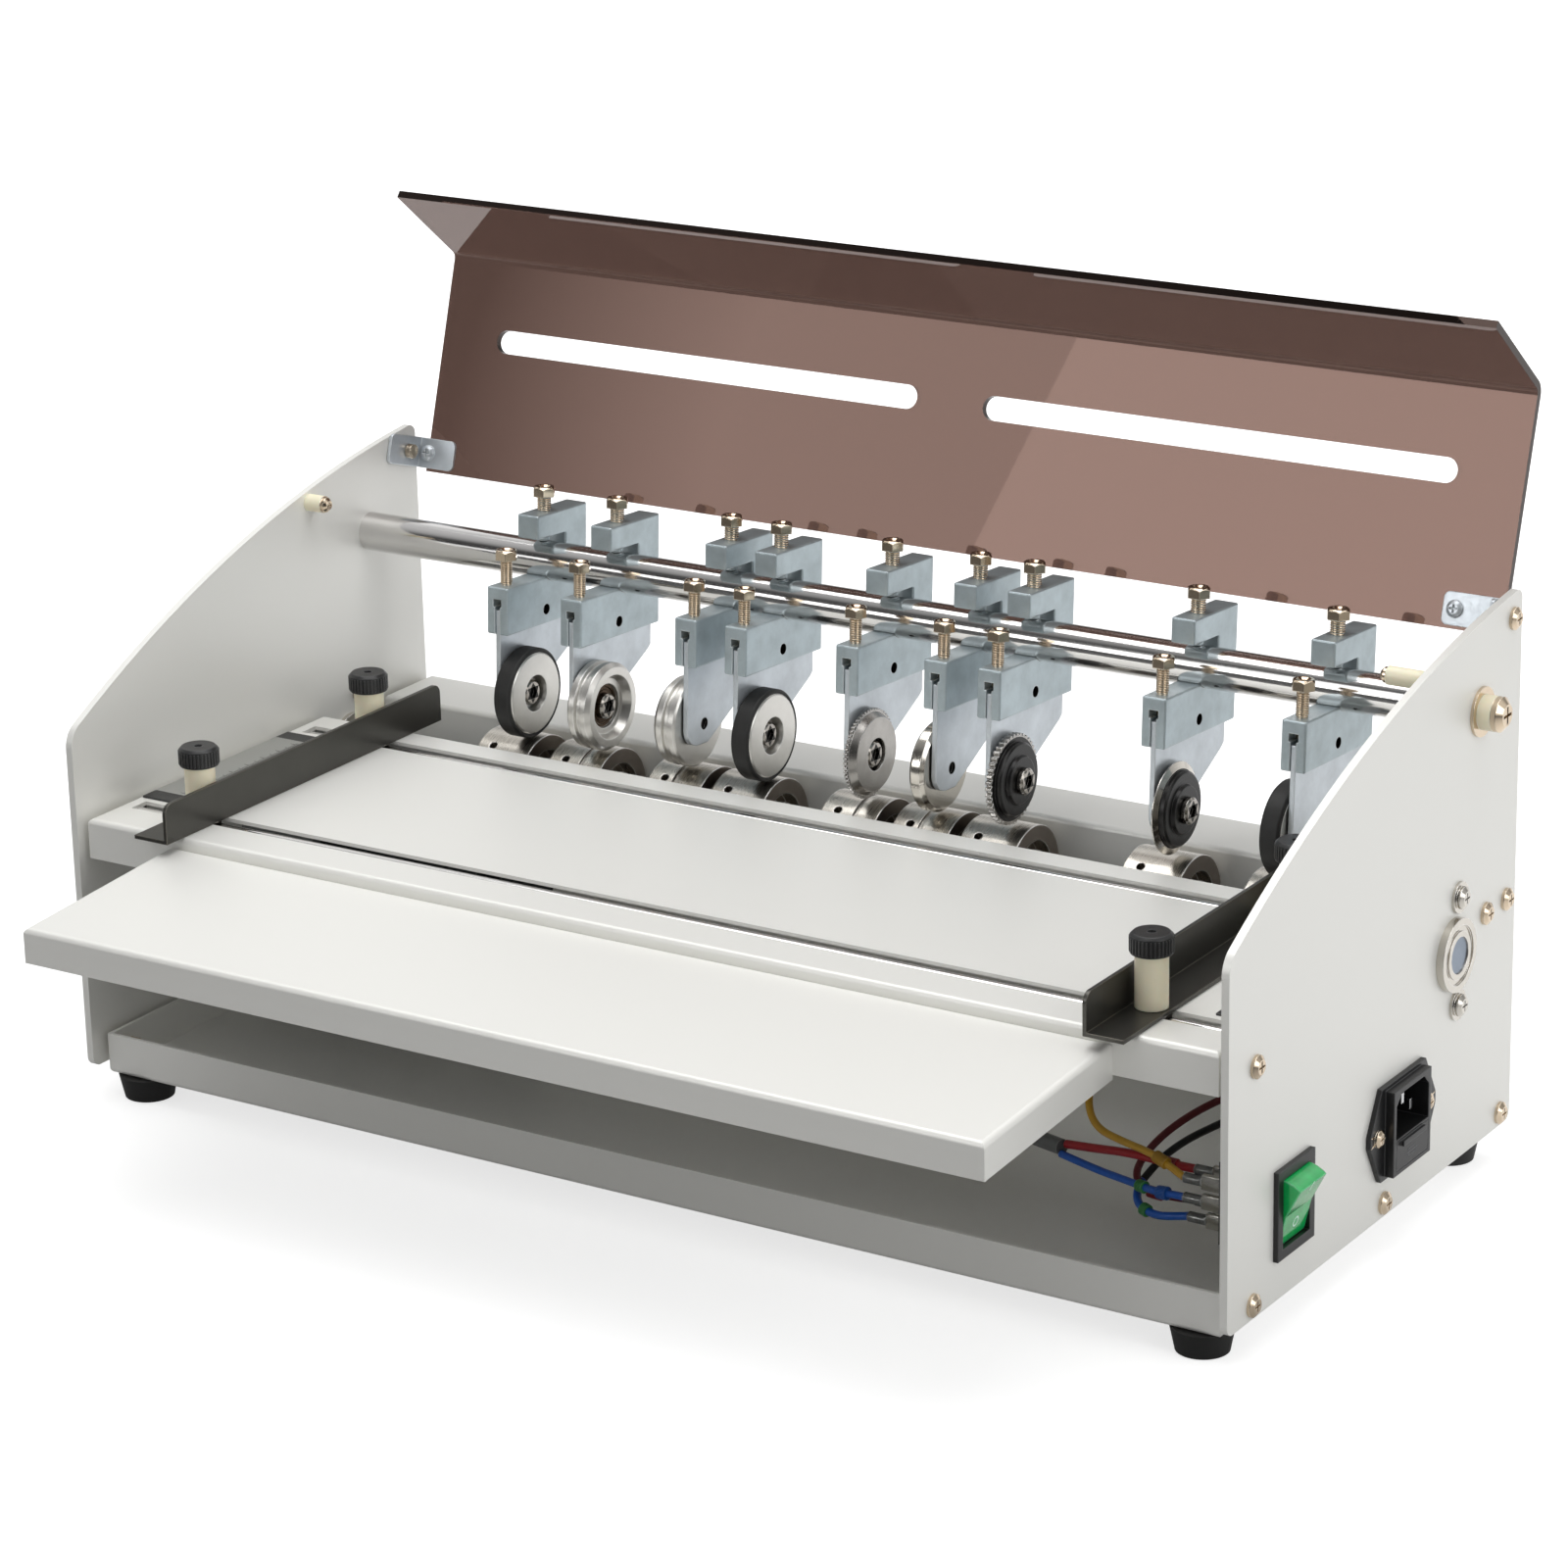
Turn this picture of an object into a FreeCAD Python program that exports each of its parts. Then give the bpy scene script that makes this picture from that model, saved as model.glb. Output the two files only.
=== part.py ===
import FreeCAD, Part
import math
import os
import re
import Sketcher
from FreeCAD import Rotation, Vector

# Desktop paper creasing machine, in millimetres.
# +X runs to the operator's right, +Y to the back, +Z up; the origin is on the table under the middle.

SIZES = {
    # side plates
    "inner_width": 500, "plate_thick": 3, "plate_behind": 53, "plate_front": -86.5, "plate_nose": 34.5,
    "plate_above": 38.5, "top_radius": 560, "shoulder_radius": 10, "corner_radius": 4,
    # folded sheet parts
    "sheet": 1.5, "fold_radius": 2.2, "side_gap": 2.6,
    "pan_drop": 4, "pan_inset": 6.4, "pan_back": 3, "pan_lip": 16.7, "pan_wall_drop": 28,
    "table_above": 19.4, "table_inset": 3.4, "table_skirt": 16, "nip_gap": 2.2,
    "slot_front": 26.5, "slot_before": 39.5, "slot_width": 9, "slot_end": 9,
    "leaf_reach": 83, "leaf_inset": 43.5, "leaf_front_drop": 9.9, "leaf_back_drop": 4.1, "leaf_skirt": 13.6,
    "tray_drop": 3, "tray_skirt": 17, "tray_gap": 1.2,
    # feet
    "foot_height": 9.6, "foot_top": 11.8, "foot_bottom": 9.8, "foot_side_inset": 14.6, "foot_inset": 15.5,
    # cross bar and its end fittings
    "bar_behind": 19.6, "bar_rise": 171, "bar_radius": 8, "end_washer_radius": 9.4, "end_washer": 1.2,
    "end_spacer_radius": 6.6, "end_spacer": 5.1, "end_head_radius": 6.6, "end_head": 4.2, "end_shank": 3,
    "end_thread": 20,
    # cover rest pegs
    "peg_before": 20, "peg_above": 22, "peg_radius": 3.5, "peg_length": 8, "peg_longer": 7, "peg_seat": 1.5,
    "peg_head": 2.5, "peg_head_radius": 3,
    # lower shaft and its anvil rollers
    "shaft_depth": 174, "bar_over_shaft": 87.4, "shaft_radius": 7, "roller_radius": 19.3, "roller_length": 25,
    "roller_cup": 13.2, "roller_cup_depth": 6, "roller_shift": -1.3, "roller_shift_back": 8, "running_fit": 0.05,
    "bearing_radius": 14, "bearing_width": 8, "bearing_proud": 3, "keeper_radius": 6, "keeper": 1.2,
    "keeper_offset": 20.9, "keeper_back": 4,
    # drive
    "gear_module": 1.5, "gear_teeth": 36, "pinion_teeth": 20, "gear_width": 4.5, "gear_gap": 3.8,
    "drive_back": 33.6, "drive_down": 25.2, "motor_shaft_radius": 4, "motor_bore": 9,
    "gearbox_front": 41.2, "gearbox_depth": 56, "gearbox_floor": 22.4, "gearbox_top": 24, "gearbox_width": 36,
    "motor_radius": 28, "motor_length": 78,
    "drive_cover_depth": 10.5, "drive_cover_front": 11, "drive_cover_behind": 34, "drive_cover_rim": 3.2,
    "drive_cover_nose_above": 20.4, "drive_cover_above": 38.4, "drive_cover_before": 56,
    # panel screws
    "screw_radius": 2, "screw_head_radius": 4.3, "screw_head": 2.4, "screw_reach": 4, "screw_clear": 0.1,
    "screw_nut": 2.4, "screw_nut_radius": 3, "pan_screw_rise": 5.5, "pan_screw_front": 18.4,
    "pan_screw_before": 53.8, "pan_screw_inset": 9.1, "table_screw_depth": 19.7, "tray_screw_inset": 8,
    "tray_screw_pitch": 17.6, "skirt_screw_drop": 9.3,
    # hinge of the cover and the cover itself
    "hinge_inset": 7.1, "hinge_above": 28.2, "cover_lean": 17.2, "cover_offset": 9.5, "cover_below": 7.5,
    "cover_reach": 83.4, "cover_lip": 49.2, "cover_bend": 67.6, "cover_thick": 3, "cover_inset": 5,
    "vent_reach": 50.1, "vent_height": 9.6, "vent_inner": 15, "vent_inset": 27,
    "bracket_gap": 0.3, "bracket_thick": 1.3, "bracket_front": 12.7, "bracket_half": 6.25, "bracket_round": 2.5,
    "left_wing": 18.5, "left_wing_screw": 5.4, "right_wing": 29, "right_wing_screw": 24,
    # side guides
    "guide_inset": 50, "station_inset": 55.8, "guide_wall": 1.5, "guide_rise": 15.8, "guide_flange": 16, "guide_front": -6,
    "guide_length": 176, "slide_gap": 0.2, "rail_radius": 2.5, "rail_drop": 3.4, "clamp_width": 12,
    "clamp_depth": 8, "clamp_height": 11, "knob_side": 9, "post_radius": 6, "post_height": 20,
    "cap_radius": 7.6, "cap_height": 7.5, "stud_radius": 2,
    # ruler plates
    "ruler_inset": 12.5, "ruler_width": 15, "ruler_front": 42, "ruler_length": 76, "ruler_thick": 0.8,
    "ruler_end": 8,
    # power inlet and switch
    "inlet_depth": 131.4, "inlet_rise": 34, "inlet_pitch": 40, "inlet_flange_half": 26.4, "inlet_half": 15,
    "inlet_height_half": 18, "inlet_raised_half": 16.5, "inlet_shoulder": 17.8, "inlet_tip": 2.2,
    "inlet_flange": 2, "inlet_proud": 5.6, "inlet_body": 24, "socket_half": 13.2,
    "socket_height": 19.4, "socket_above": -2.6, "socket_deep": 18, "drawer_half": 13, "drawer_height": 11.6,
    "drawer_below": 3.4, "drawer_deep": 17, "inlet_clear": 0.3,
    "switch_depth": 47.5, "switch_rise": 32.5, "bezel_half": 13.8, "bezel_height_half": 16.8, "bezel": 2,
    "rocker_half": 9.8, "rocker_radius": 12.8, "rocker_tilt": 20.5, "rocker_gap": 0.4, "switch_body": 22,
    "switch_body_half": 12.4, "switch_body_height": 15.6, "rocker_crown": 3, "rocker_tail": 5,
    "tab_length": 2, "tab_width": 4.4, "terminal_jaw": 9, "terminal_thick": 2.8, "terminal_height": 6,
    "terminal_neck": 7, "terminal_barrel": 2,
    # holder block, measured from the bar's axis
    "block_thick": 10, "lug_front": 32.6, "lug_bottom": 24.9, "lug_top": 5.5, "block_back": 22.8,
    "block_top": 20.2, "block_round": 0.7, "horn_front": 11.6, "horn_bottom": 10.4, "arm_slot": 2.4,
    "arm_slot_top": 13.4, "notch": 4, "notch_top": 10.6, "notch_depth": 12.6, "pivot_back": 5.6,
    "pivot_down": 19, "pivot_radius": 2.2, "pivot_sunk": 2.6,
    "bolt_radius": 2.5, "bolt_head": 4.1, "bolt_flats": 8.2, "clamp_stand": 5.9, "adjust_front": 26.2,
    "adjust_stand": 10.4, "adjust_tip": 13.3, "adjust_radius": 2.1, "holder_tilt": 3.5, "arm_reach": 20.1,
    "clamp_tip_gap": 0.1,
    # arm, measured from the bar's axis
    "arm_thick": 2, "arm_front": 32, "arm_top": 15, "arm_heel": 22.6, "arm_heel_drop": 34.5, "arm_foot": 8,
    "arm_foot_round": 7.6, "arm_nip": 1.46,
    # wheels and their pins
    "wheel_radius": 17.8, "tyre_radius": 18.4, "creaser_bearing": 8.6, "disc_start": 0.8, "wheel_gap": 0.6,
    "pin_radius": 3, "pin_shank": 2.4, "pin_head_radius": 5.2, "pin_head": 2.4, "pin_play": 0.3,
    "pin_key": 2.8, "pin_sunk": 1.2, "tyre_inner": 16.6, "tyre_width": 8.4, "hub_recess": 4,
    "creaser_recess": 4.6, "perforator_width": 5, "perforator_recess": 3, "creaser_width": 10.4,
    "disc_width": 1.4, "plain_width": 6.5, "cutter_width": 2.4, "washer_radius": 14.6, "hub_width": 7,
    "tooth_height": 1.1,
}

# Sizes that follow others: depths hang on the lower shaft, heights on the cross bar, and the tool
# stations, from left to right, on the width between the side plates.
LINKED = {
    "plate_depth": "shaft_depth + plate_behind",
    "bar_depth": "shaft_depth + bar_behind",
    "peg_depth": "shaft_depth - peg_before",
    "slot_back": "shaft_depth - slot_before",
    "hinge_depth": "plate_depth - hinge_inset",
    "pan_screw_middle": "shaft_depth - pan_screw_before",
    "pan_screw_back": "plate_depth - pan_screw_inset",
    "tray_screw_back": "plate_depth - tray_screw_inset",
    "tray_screw_front": "tray_screw_back - tray_screw_pitch",
    "drive_cover_back": "shaft_depth + drive_cover_behind",
    "drive_cover_step": "shaft_depth - drive_cover_before",
    "shaft_rise": "bar_rise - bar_over_shaft",
    "peg_rise": "bar_rise + peg_above",
    "hinge_rise": "bar_rise + hinge_above",
    "back_height": "bar_rise + plate_above",
    "table_rise": "shaft_rise + table_above",
    "front_height": "table_rise + plate_nose",
    "tray_rise": "table_rise - tray_drop",
    "leaf_front_rise": "table_rise - leaf_front_drop",
    "leaf_back_rise": "table_rise - leaf_back_drop",
    "pan_wall": "table_rise - pan_wall_drop",
    "gearbox_low": "shaft_rise - drive_down - gearbox_floor",
    "gearbox_height": "gearbox_low + gearbox_top",
    "drive_cover_low": "(shaft_rise - drive_down) / 2 - drive_cover_rim",
    "drive_cover_nose": "shaft_rise + drive_cover_nose_above",
    "drive_cover_top": "shaft_rise + drive_cover_above",
    "slot_reach": "inner_width / 2 - slot_end",
    "leaf_half": "inner_width / 2 - leaf_inset",
    "foot_side": "inner_width / 2 - foot_side_inset",
    "cover_half": "inner_width / 2 - cover_inset",
    "vent_outer": "cover_half - vent_inset",
    "guide_face": "inner_width / 2 - guide_inset",
    "ruler_side": "inner_width / 2 - ruler_inset",
    "station_one": "-0.324 * inner_width",
    "station_two": "-0.2526 * inner_width",
    "station_three": "-0.1432 * inner_width",
    "station_four": "-0.0966 * inner_width",
    "station_five": "0.0054 * inner_width",
    "station_six": "0.0844 * inner_width",
    "station_seven": "0.1318 * inner_width",
    "station_eight": "0.2728 * inner_width",
    "station_nine": "inner_width / 2 - station_inset",
}

NAME = re.compile(r"[a-z][a-z_]*")
BASE = "foot_height + pan_drop"
HALF = "inner_width / 2"
TEETH_PERFORATING = 60
TEETH_COARSE = 44

doc = FreeCAD.newDocument("creasing_machine")
nodes = []


def bound(text):
    """An expression with every named size read from the sheet."""
    def read(found):
        name = found.group()
        return "sizes." + name if name in SIZES or name in LINKED else name

    return NAME.sub(read, text)


def deep(text):
    """Y of a place that lies so far behind the side plates' front edges."""
    return "plate_front + " + text


def high(text):
    """Z of a place that lies so far above the side plates' bottom edges."""
    return BASE + " + " + text


def value(text):
    """The number that an expression of sizes stands for now."""
    return float(sizes.evalExpression(bound(text)))


def driving_sizes():
    """The spreadsheet of driving sizes and of those that follow them, one alias per row."""
    sheet = doc.addObject("Spreadsheet::Sheet", "sizes")
    cells = [(name, str(size)) for name, size in SIZES.items()]
    cells += [(name, "=" + rule) for name, rule in LINKED.items()]
    for row, (name, content) in enumerate(cells, start=1):
        sheet.set("A%d" % row, name.replace("_", " "))
        sheet.set("B%d" % row, content)
        sheet.setAlias("B%d" % row, name)
    doc.recompute()
    return sheet


def node(item, label):
    """Name an object as a sub-part of the machine."""
    item.Label = label
    nodes.append(item)
    return item


def place(item, x="0", y="0", z="0", turn=None):
    """Bind an object's position to the sheet, with a fixed turn."""
    if turn:
        item.Placement.Rotation = turn
    for letter, text in zip("xyz", (x, y, z)):
        item.setExpression("Placement.Base." + letter, bound(text))
    return item


ALONG = {"x": Rotation(Vector(0, 1, 0), 90), "y": Rotation(Vector(1, 0, 0), -90), "z": Rotation(),
         "-x": Rotation(Vector(0, 1, 0), -90)}


def box(name, length, width, height, x, y, z):
    """A box from its low corner."""
    item = doc.addObject("Part::Box", name)
    for size, text in zip(("Length", "Width", "Height"), (length, width, height)):
        item.setExpression(size, bound(text))
    return place(item, x, y, z)


def rod(name, radius, length, axis="z", x="0", y="0", z="0"):
    """A cylinder from the centre of its first end."""
    item = doc.addObject("Part::Cylinder", name)
    item.setExpression("Radius", bound(radius))
    item.setExpression("Height", bound(length))
    return place(item, x, y, z, ALONG[axis])


def cone(name, low_radius, top_radius, height, axis="z", x="0", y="0", z="0"):
    """A cone frustum from the centre of its first end."""
    item = doc.addObject("Part::Cone", name)
    item.setExpression("Radius1", bound(low_radius))
    item.setExpression("Radius2", bound(top_radius))
    item.setExpression("Height", bound(height))
    return place(item, x, y, z, ALONG[axis])


def prism(name, flats, height, x="0", y="0", z="0"):
    """An upright hexagon, by its width across flats."""
    item = doc.addObject("Part::Prism", name)
    item.Polygon = 6
    item.setExpression("Circumradius", bound("%s / sqrt(3)" % flats))
    item.setExpression("Height", bound(height))
    return place(item, x, y, z)


def fuse(name, *items):
    """One solid from several."""
    item = doc.addObject("Part::MultiFuse", name)
    item.Shapes = list(items)
    return item


def cut(name, base, *tools):
    """A solid less others."""
    item = doc.addObject("Part::Cut", name)
    item.Base = base
    item.Tool = tools[0] if len(tools) == 1 else group(name + "_tools", *tools)
    return item


def group(name, *items):
    """Separate solids that share a node."""
    item = doc.addObject("Part::Compound", name)
    item.Links = list(items)
    return item


def body(name):
    """An empty PartDesign body."""
    return doc.addObject("PartDesign::Body", name)


def sketch_on(owner, plane, name, offset="0"):
    """A sketch on one of its body's own origin planes."""
    sketch = owner.newObject("Sketcher::SketchObject", name)
    support = [plane_of for plane_of in owner.Origin.OriginFeatures if plane_of.Role == plane][0]
    sketch.AttachmentSupport = [(support, "")]
    sketch.MapMode = "FlatFace"
    sketch.setExpression("AttachmentOffset.Base.z", bound(offset))
    return sketch


def pin_down(sketch, kind, *where, text):
    """A sketch dimension bound to the sheet."""
    index = sketch.addConstraint(Sketcher.Constraint(kind, *where, value(text)))
    sketch.setExpression("Constraints[%d]" % index, bound(text))


def outline(sketch, corners, arcs=None):
    """A closed outline through corners, with arcs (corner number: radius) bulging out of it."""
    arcs = arcs or {}
    first = sketch.GeometryCount
    points = [Vector(value(across), value(up), 0) for across, up in corners]
    for number, start in enumerate(points):
        end = points[(number + 1) % len(points)]
        sketch.addGeometry(edge_between(start, end, arcs.get(number)), False)
    for number, (across, up) in enumerate(corners):
        after = (number + 1) % len(corners)
        sketch.addConstraint(Sketcher.Constraint("Coincident", first + number, 2, first + after, 1))
        pin_down(sketch, "DistanceX", -1, 1, first + number, 1, text=across)
        pin_down(sketch, "DistanceY", -1, 1, first + number, 1, text=up)
        if number in arcs:
            pin_down(sketch, "Radius", first + number, text=arcs[number])


def edge_between(start, end, radius):
    """A straight edge, or an arc of the named radius that bulges to the right of the way it runs."""
    if radius is None:
        return Part.LineSegment(start, end)
    chord = end - start
    sag = value(radius) - math.sqrt(value(radius) ** 2 - chord.Length ** 2 / 4)
    outwards = Vector(chord.y, -chord.x, 0).normalize()
    return Part.Arc(start, start + chord / 2 + outwards * sag, end)


def rectangle(sketch, across, up, half_across, half_up):
    """A rectangle about a centre."""
    left, right = "%s - (%s)" % (across, half_across), "%s + %s" % (across, half_across)
    low, top = "%s - (%s)" % (up, half_up), "%s + %s" % (up, half_up)
    outline(sketch, [(left, low), (right, low), (right, top), (left, top)])


def circle(sketch, across, up, radius):
    """A full circle."""
    centre = Vector(value(across), value(up), 0)
    index = sketch.addGeometry(Part.Circle(centre, Vector(0, 0, 1), value(radius)), False)
    pin_down(sketch, "DistanceX", -1, 1, index, 3, text=across)
    pin_down(sketch, "DistanceY", -1, 1, index, 3, text=up)
    pin_down(sketch, "Radius", index, text=radius)


def pad(owner, sketch, name, length, midplane=False):
    """A pad of a sketch."""
    feature = owner.newObject("PartDesign::Pad", name)
    feature.Profile = sketch
    feature.setExpression("Length", bound(length))
    feature.Midplane = midplane
    return feature


def pocket(owner, sketch, name, length="0", midplane=False):
    """A pocket of a sketch: through both ways, or so deep against its normal."""
    feature = owner.newObject("PartDesign::Pocket", name)
    feature.Profile = sketch
    if length == "0":
        feature.Type = "ThroughAll"
        feature.Midplane = True
    else:
        feature.setExpression("Length", bound(length))
        feature.Midplane = midplane
    return feature


def edges_where(shape, test):
    """Names of the edges whose two ends and middle pass a test."""
    names = []
    for number, edge in enumerate(shape.Edges, start=1):
        middle = edge.valueAt((edge.FirstParameter + edge.LastParameter) / 2)
        if all(test(point) for point in [vertex.Point for vertex in edge.Vertexes] + [middle]):
            names.append("Edge%d" % number)
    return names


def faces_where(shape, test):
    """Names of the faces whose centre passes a test."""
    return ["Face%d" % number for number, face in enumerate(shape.Faces, start=1) if test(face.CenterOfMass)]


def near(first, text):
    """Whether a coordinate lies on a named place."""
    return abs(first - value(text)) < 0.02


def soften(owner, base, name, radius, test):
    """A fillet on the edges that pass a test."""
    doc.recompute()
    feature = owner.newObject("PartDesign::Fillet", name)
    feature.Base = (base, edges_where(base.Shape, test))
    feature.setExpression("Radius", bound(radius))
    return feature


def hollow(owner, base, name, test):
    """A shell of sheet thickness, open at the faces that pass a test."""
    doc.recompute()
    feature = owner.newObject("PartDesign::Thickness", name)
    feature.Base = (base, faces_where(base.Shape, test))
    feature.setExpression("Value", bound("sheet"))
    feature.Reversed = True
    feature.Mode = 0
    feature.Join = 0
    return feature


def revolve(owner, sketch, name):
    """A full turn of a sketch about its own horizontal axis."""
    feature = owner.newObject("PartDesign::Revolution", name)
    feature.Profile = sketch
    feature.ReferenceAxis = (sketch, ["H_Axis"])
    feature.Angle = 360
    return feature


def turned(name, corners):
    """A body turned about X, from corners given as (place along X, radius)."""
    owner = body(name)
    sketch = sketch_on(owner, "XY_Plane", name + "_profile")
    outline(sketch, corners)
    revolve(owner, sketch, name + "_turning")
    return owner


# Fasteners, built along +Z with the seat of the head at the origin.

def pan_screw(name, radius, shank, head_radius, head):
    """A pan head screw with a cross recess; the shank goes down from its seat."""
    low = "%s * 0.5" % head
    parts = fuse(name + "_blank",
                 rod(name + "_shank", radius, shank, z="-(%s)" % shank),
                 rod(name + "_rim", head_radius, low),
                 cone(name + "_crown", head_radius, "%s * 0.62" % head_radius, low, z=low))
    arm, width, depth = "%s * 0.5" % head_radius, "%s * 0.09" % head_radius, "%s * 0.45" % head
    floor = "%s - %s" % (head, depth)
    blades = [box(name + "_blade" + letter, "2 * (%s)" % across, "2 * (%s)" % up, depth,
                  "-(%s)" % across, "-(%s)" % up, floor)
              for letter, across, up in (("_a", arm, width), ("_b", width, arm))]
    return cut(name, parts, *blades)


def hex_bolt(name, radius, shank, stand):
    """A hexagon bolt whose dished head stands over its seat; the shank reaches down from the seat."""
    crown = cone(name + "_crown", "bolt_flats * 0.9", "bolt_flats * 0.46", "bolt_head", z=stand)
    head = doc.addObject("Part::Common", name + "_head")
    head.Base = prism(name + "_hexagon", "bolt_flats", "bolt_head", z=stand)
    head.Tool = crown
    dish = cone(name + "_dish", "bolt_flats * 0.2", "bolt_flats * 0.34", "bolt_head * 0.2",
                z="%s + bolt_head * 0.8" % stand)
    shaft = rod(name + "_shank", radius, "%s + %s" % (shank, stand), z="-(%s)" % shank)
    return fuse(name, shaft, cut(name + "_dished", head, dish))


def holes_in(owner, name, places):
    """Round holes through a side plate, given as (depth, rise, radius)."""
    sketch = sketch_on(owner, "YZ_Plane", name)
    for depth, rise, radius in places:
        circle(sketch, deep(depth), high(rise), radius)
    pocket(owner, sketch, name + "_cut")


PAN_SCREWS = [(depth, "pan_screw_rise") for depth in ("pan_screw_front", "pan_screw_middle", "pan_screw_back")]


def panel_screw_places():
    """Depth and rise of each screw that holds a folded part to a side plate."""
    table = [("table_screw_depth", "table_rise - skirt_screw_drop")]
    tray = [(depth, "tray_rise - skirt_screw_drop") for depth in ("tray_screw_front", "tray_screw_back")]
    return PAN_SCREWS + table + tray


def side_plate(label, inner_x, thickness_from):
    """A flat side plate with a curved top edge, drilled for everything that it carries."""
    plate = body(label)
    sketch = sketch_on(plate, "YZ_Plane", label + "_outline", thickness_from)
    front, back = deep("0"), deep("plate_depth")
    outline(sketch, [(front, BASE), (back, BASE), (back, high("back_height")), (front, high("front_height"))],
            {2: "top_radius"})
    blank = pad(plate, sketch, label + "_blank", "plate_thick")
    corner = soften(plate, blank, label + "_corners", "corner_radius",
                    lambda point: not (near(point.y, front) and near(point.z, high("front_height")))
                    and (near(point.y, front) or near(point.y, back))
                    and (near(point.z, BASE) or near(point.z, high("back_height"))
                         and near(point.y, back)))
    soften(plate, corner, label + "_shoulder", "shoulder_radius",
           lambda point: near(point.y, front) and near(point.z, high("front_height")))
    screw_hole = "screw_radius + screw_clear"
    places = [(depth, rise, screw_hole) for depth, rise in panel_screw_places()]
    places += [("hinge_depth", "hinge_rise", screw_hole), ("bar_depth", "bar_rise", "end_shank + screw_clear"),
               ("shaft_depth", "shaft_rise", "bearing_radius")]
    places += [("shaft_depth + keeper_back", "shaft_rise %s keeper_offset" % sign, screw_hole) for sign in "+-"]
    seat = sketch_on(plate, "YZ_Plane", label + "_peg_seat", inner_x)
    circle(seat, deep("peg_depth"), high("peg_rise"), "screw_radius")
    sunk = pocket(plate, seat, label + "_peg_seat_cut", "peg_seat")
    sunk.Reversed = inner_x == HALF
    return plate, places


def left_plate():
    """The plate on the operator's left, which the drive's shaft passes through."""
    plate, places = side_plate("left_side_plate", "-(inner_width / 2)", "-(inner_width / 2) - plate_thick")
    places.append(("shaft_depth - drive_back", "shaft_rise - drive_down", "motor_bore"))
    holes_in(plate, "left_holes", places)
    node(plate, "left_side_plate")


def right_plate():
    """The plate on the operator's right, with the openings of the inlet and the switch."""
    plate, places = side_plate("right_side_plate", HALF, HALF)
    places += [("inlet_depth %s inlet_pitch / 2" % sign, "inlet_rise", screw_hole_inlet()) for sign in "+-"]
    holes_in(plate, "right_holes", places)
    openings = sketch_on(plate, "YZ_Plane", "right_openings")
    rectangle(openings, deep("inlet_depth"), high("inlet_rise"), "inlet_half", "inlet_raised_half")
    rectangle(openings, deep("switch_depth"), high("switch_rise"), "switch_body_half + 0.2",
              "switch_body_height + 0.2")
    pocket(plate, openings, "right_openings_cut")
    node(plate, "right_side_plate")


def screw_hole_inlet():
    """Radius of the inlet's two screw holes."""
    return "screw_radius - 0.4"


def folded_box(name, label_plane_corners, height_from, height, radius, open_low):
    """A folded sheet box from a rectangle, softened at its folds and hollowed from one side."""
    low_left, high_right = label_plane_corners
    owner = body(name)
    sketch = sketch_on(owner, "XY_Plane", name + "_outline", height_from)
    (left, front), (right, back) = low_left, high_right
    outline(sketch, [(left, front), (right, front), (right, back), (left, back)])
    blank = pad(owner, sketch, name + "_blank", height)
    closed = "%s + %s" % (height_from, height) if open_low else height_from
    opened = height_from if open_low else "%s + %s" % (height_from, height)
    soft = soften(owner, blank, name + "_folds", radius, lambda point: not near(point.z, opened))
    if not soft.Base[1]:
        raise ValueError(name + " has no folds")
    hollow(owner, soft, name + "_shell", lambda point: near(point.z, opened))
    return owner, closed


FOLD_HALF = "(inner_width / 2 - side_gap)"


def base_pan():
    """The pan between the plates: a low lip at the front and sides and a taller rear wall."""
    front, back = deep("pan_inset"), deep("plate_depth - pan_back")
    pan, floor = folded_box("base_pan", (("-" + FOLD_HALF, front), (FOLD_HALF, back)), "foot_height", "pan_lip",
                            "fold_radius", False)
    wall = sketch_on(pan, "XY_Plane", "pan_wall_outline", "foot_height + pan_lip - sheet")
    outline(wall, [("-" + FOLD_HALF, back + " - sheet"), (FOLD_HALF, back + " - sheet"), (FOLD_HALF, back),
                   ("-" + FOLD_HALF, back)])
    pad(pan, wall, "pan_wall_blank", "pan_wall - pan_lip + sheet")
    side_holes(pan, "pan", PAN_SCREWS)
    node(pan, "base_pan")


def side_holes(owner, name, places):
    """Screw holes through both side flanges of a folded part."""
    sketch = sketch_on(owner, "YZ_Plane", name + "_screw_holes")
    for depth, rise in places:
        circle(sketch, deep(depth), high(rise), "screw_radius")
    pocket(owner, sketch, name + "_screw_holes_cut")


def feed_table():
    """The table that paper is fed over, with a slot for each guide rail."""
    front, back = deep("table_inset"), deep("shaft_depth - roller_radius - nip_gap")
    table, top = folded_box("feed_table", (("-" + FOLD_HALF, front), (FOLD_HALF, back)),
                            high("table_rise - table_skirt"), "table_skirt", "fold_radius", True)
    slots = sketch_on(table, "XY_Plane", "guide_slots", high("table_rise"))
    for depth in ("slot_front", "slot_back"):
        rectangle(slots, "0", deep(depth), "slot_reach", "slot_width / 2")
    pocket(table, slots, "guide_slots_cut", "sheet + 0.5")
    side_holes(table, "table", [("table_screw_depth", "table_rise - skirt_screw_drop")])
    node(table, "feed_table")


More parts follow.
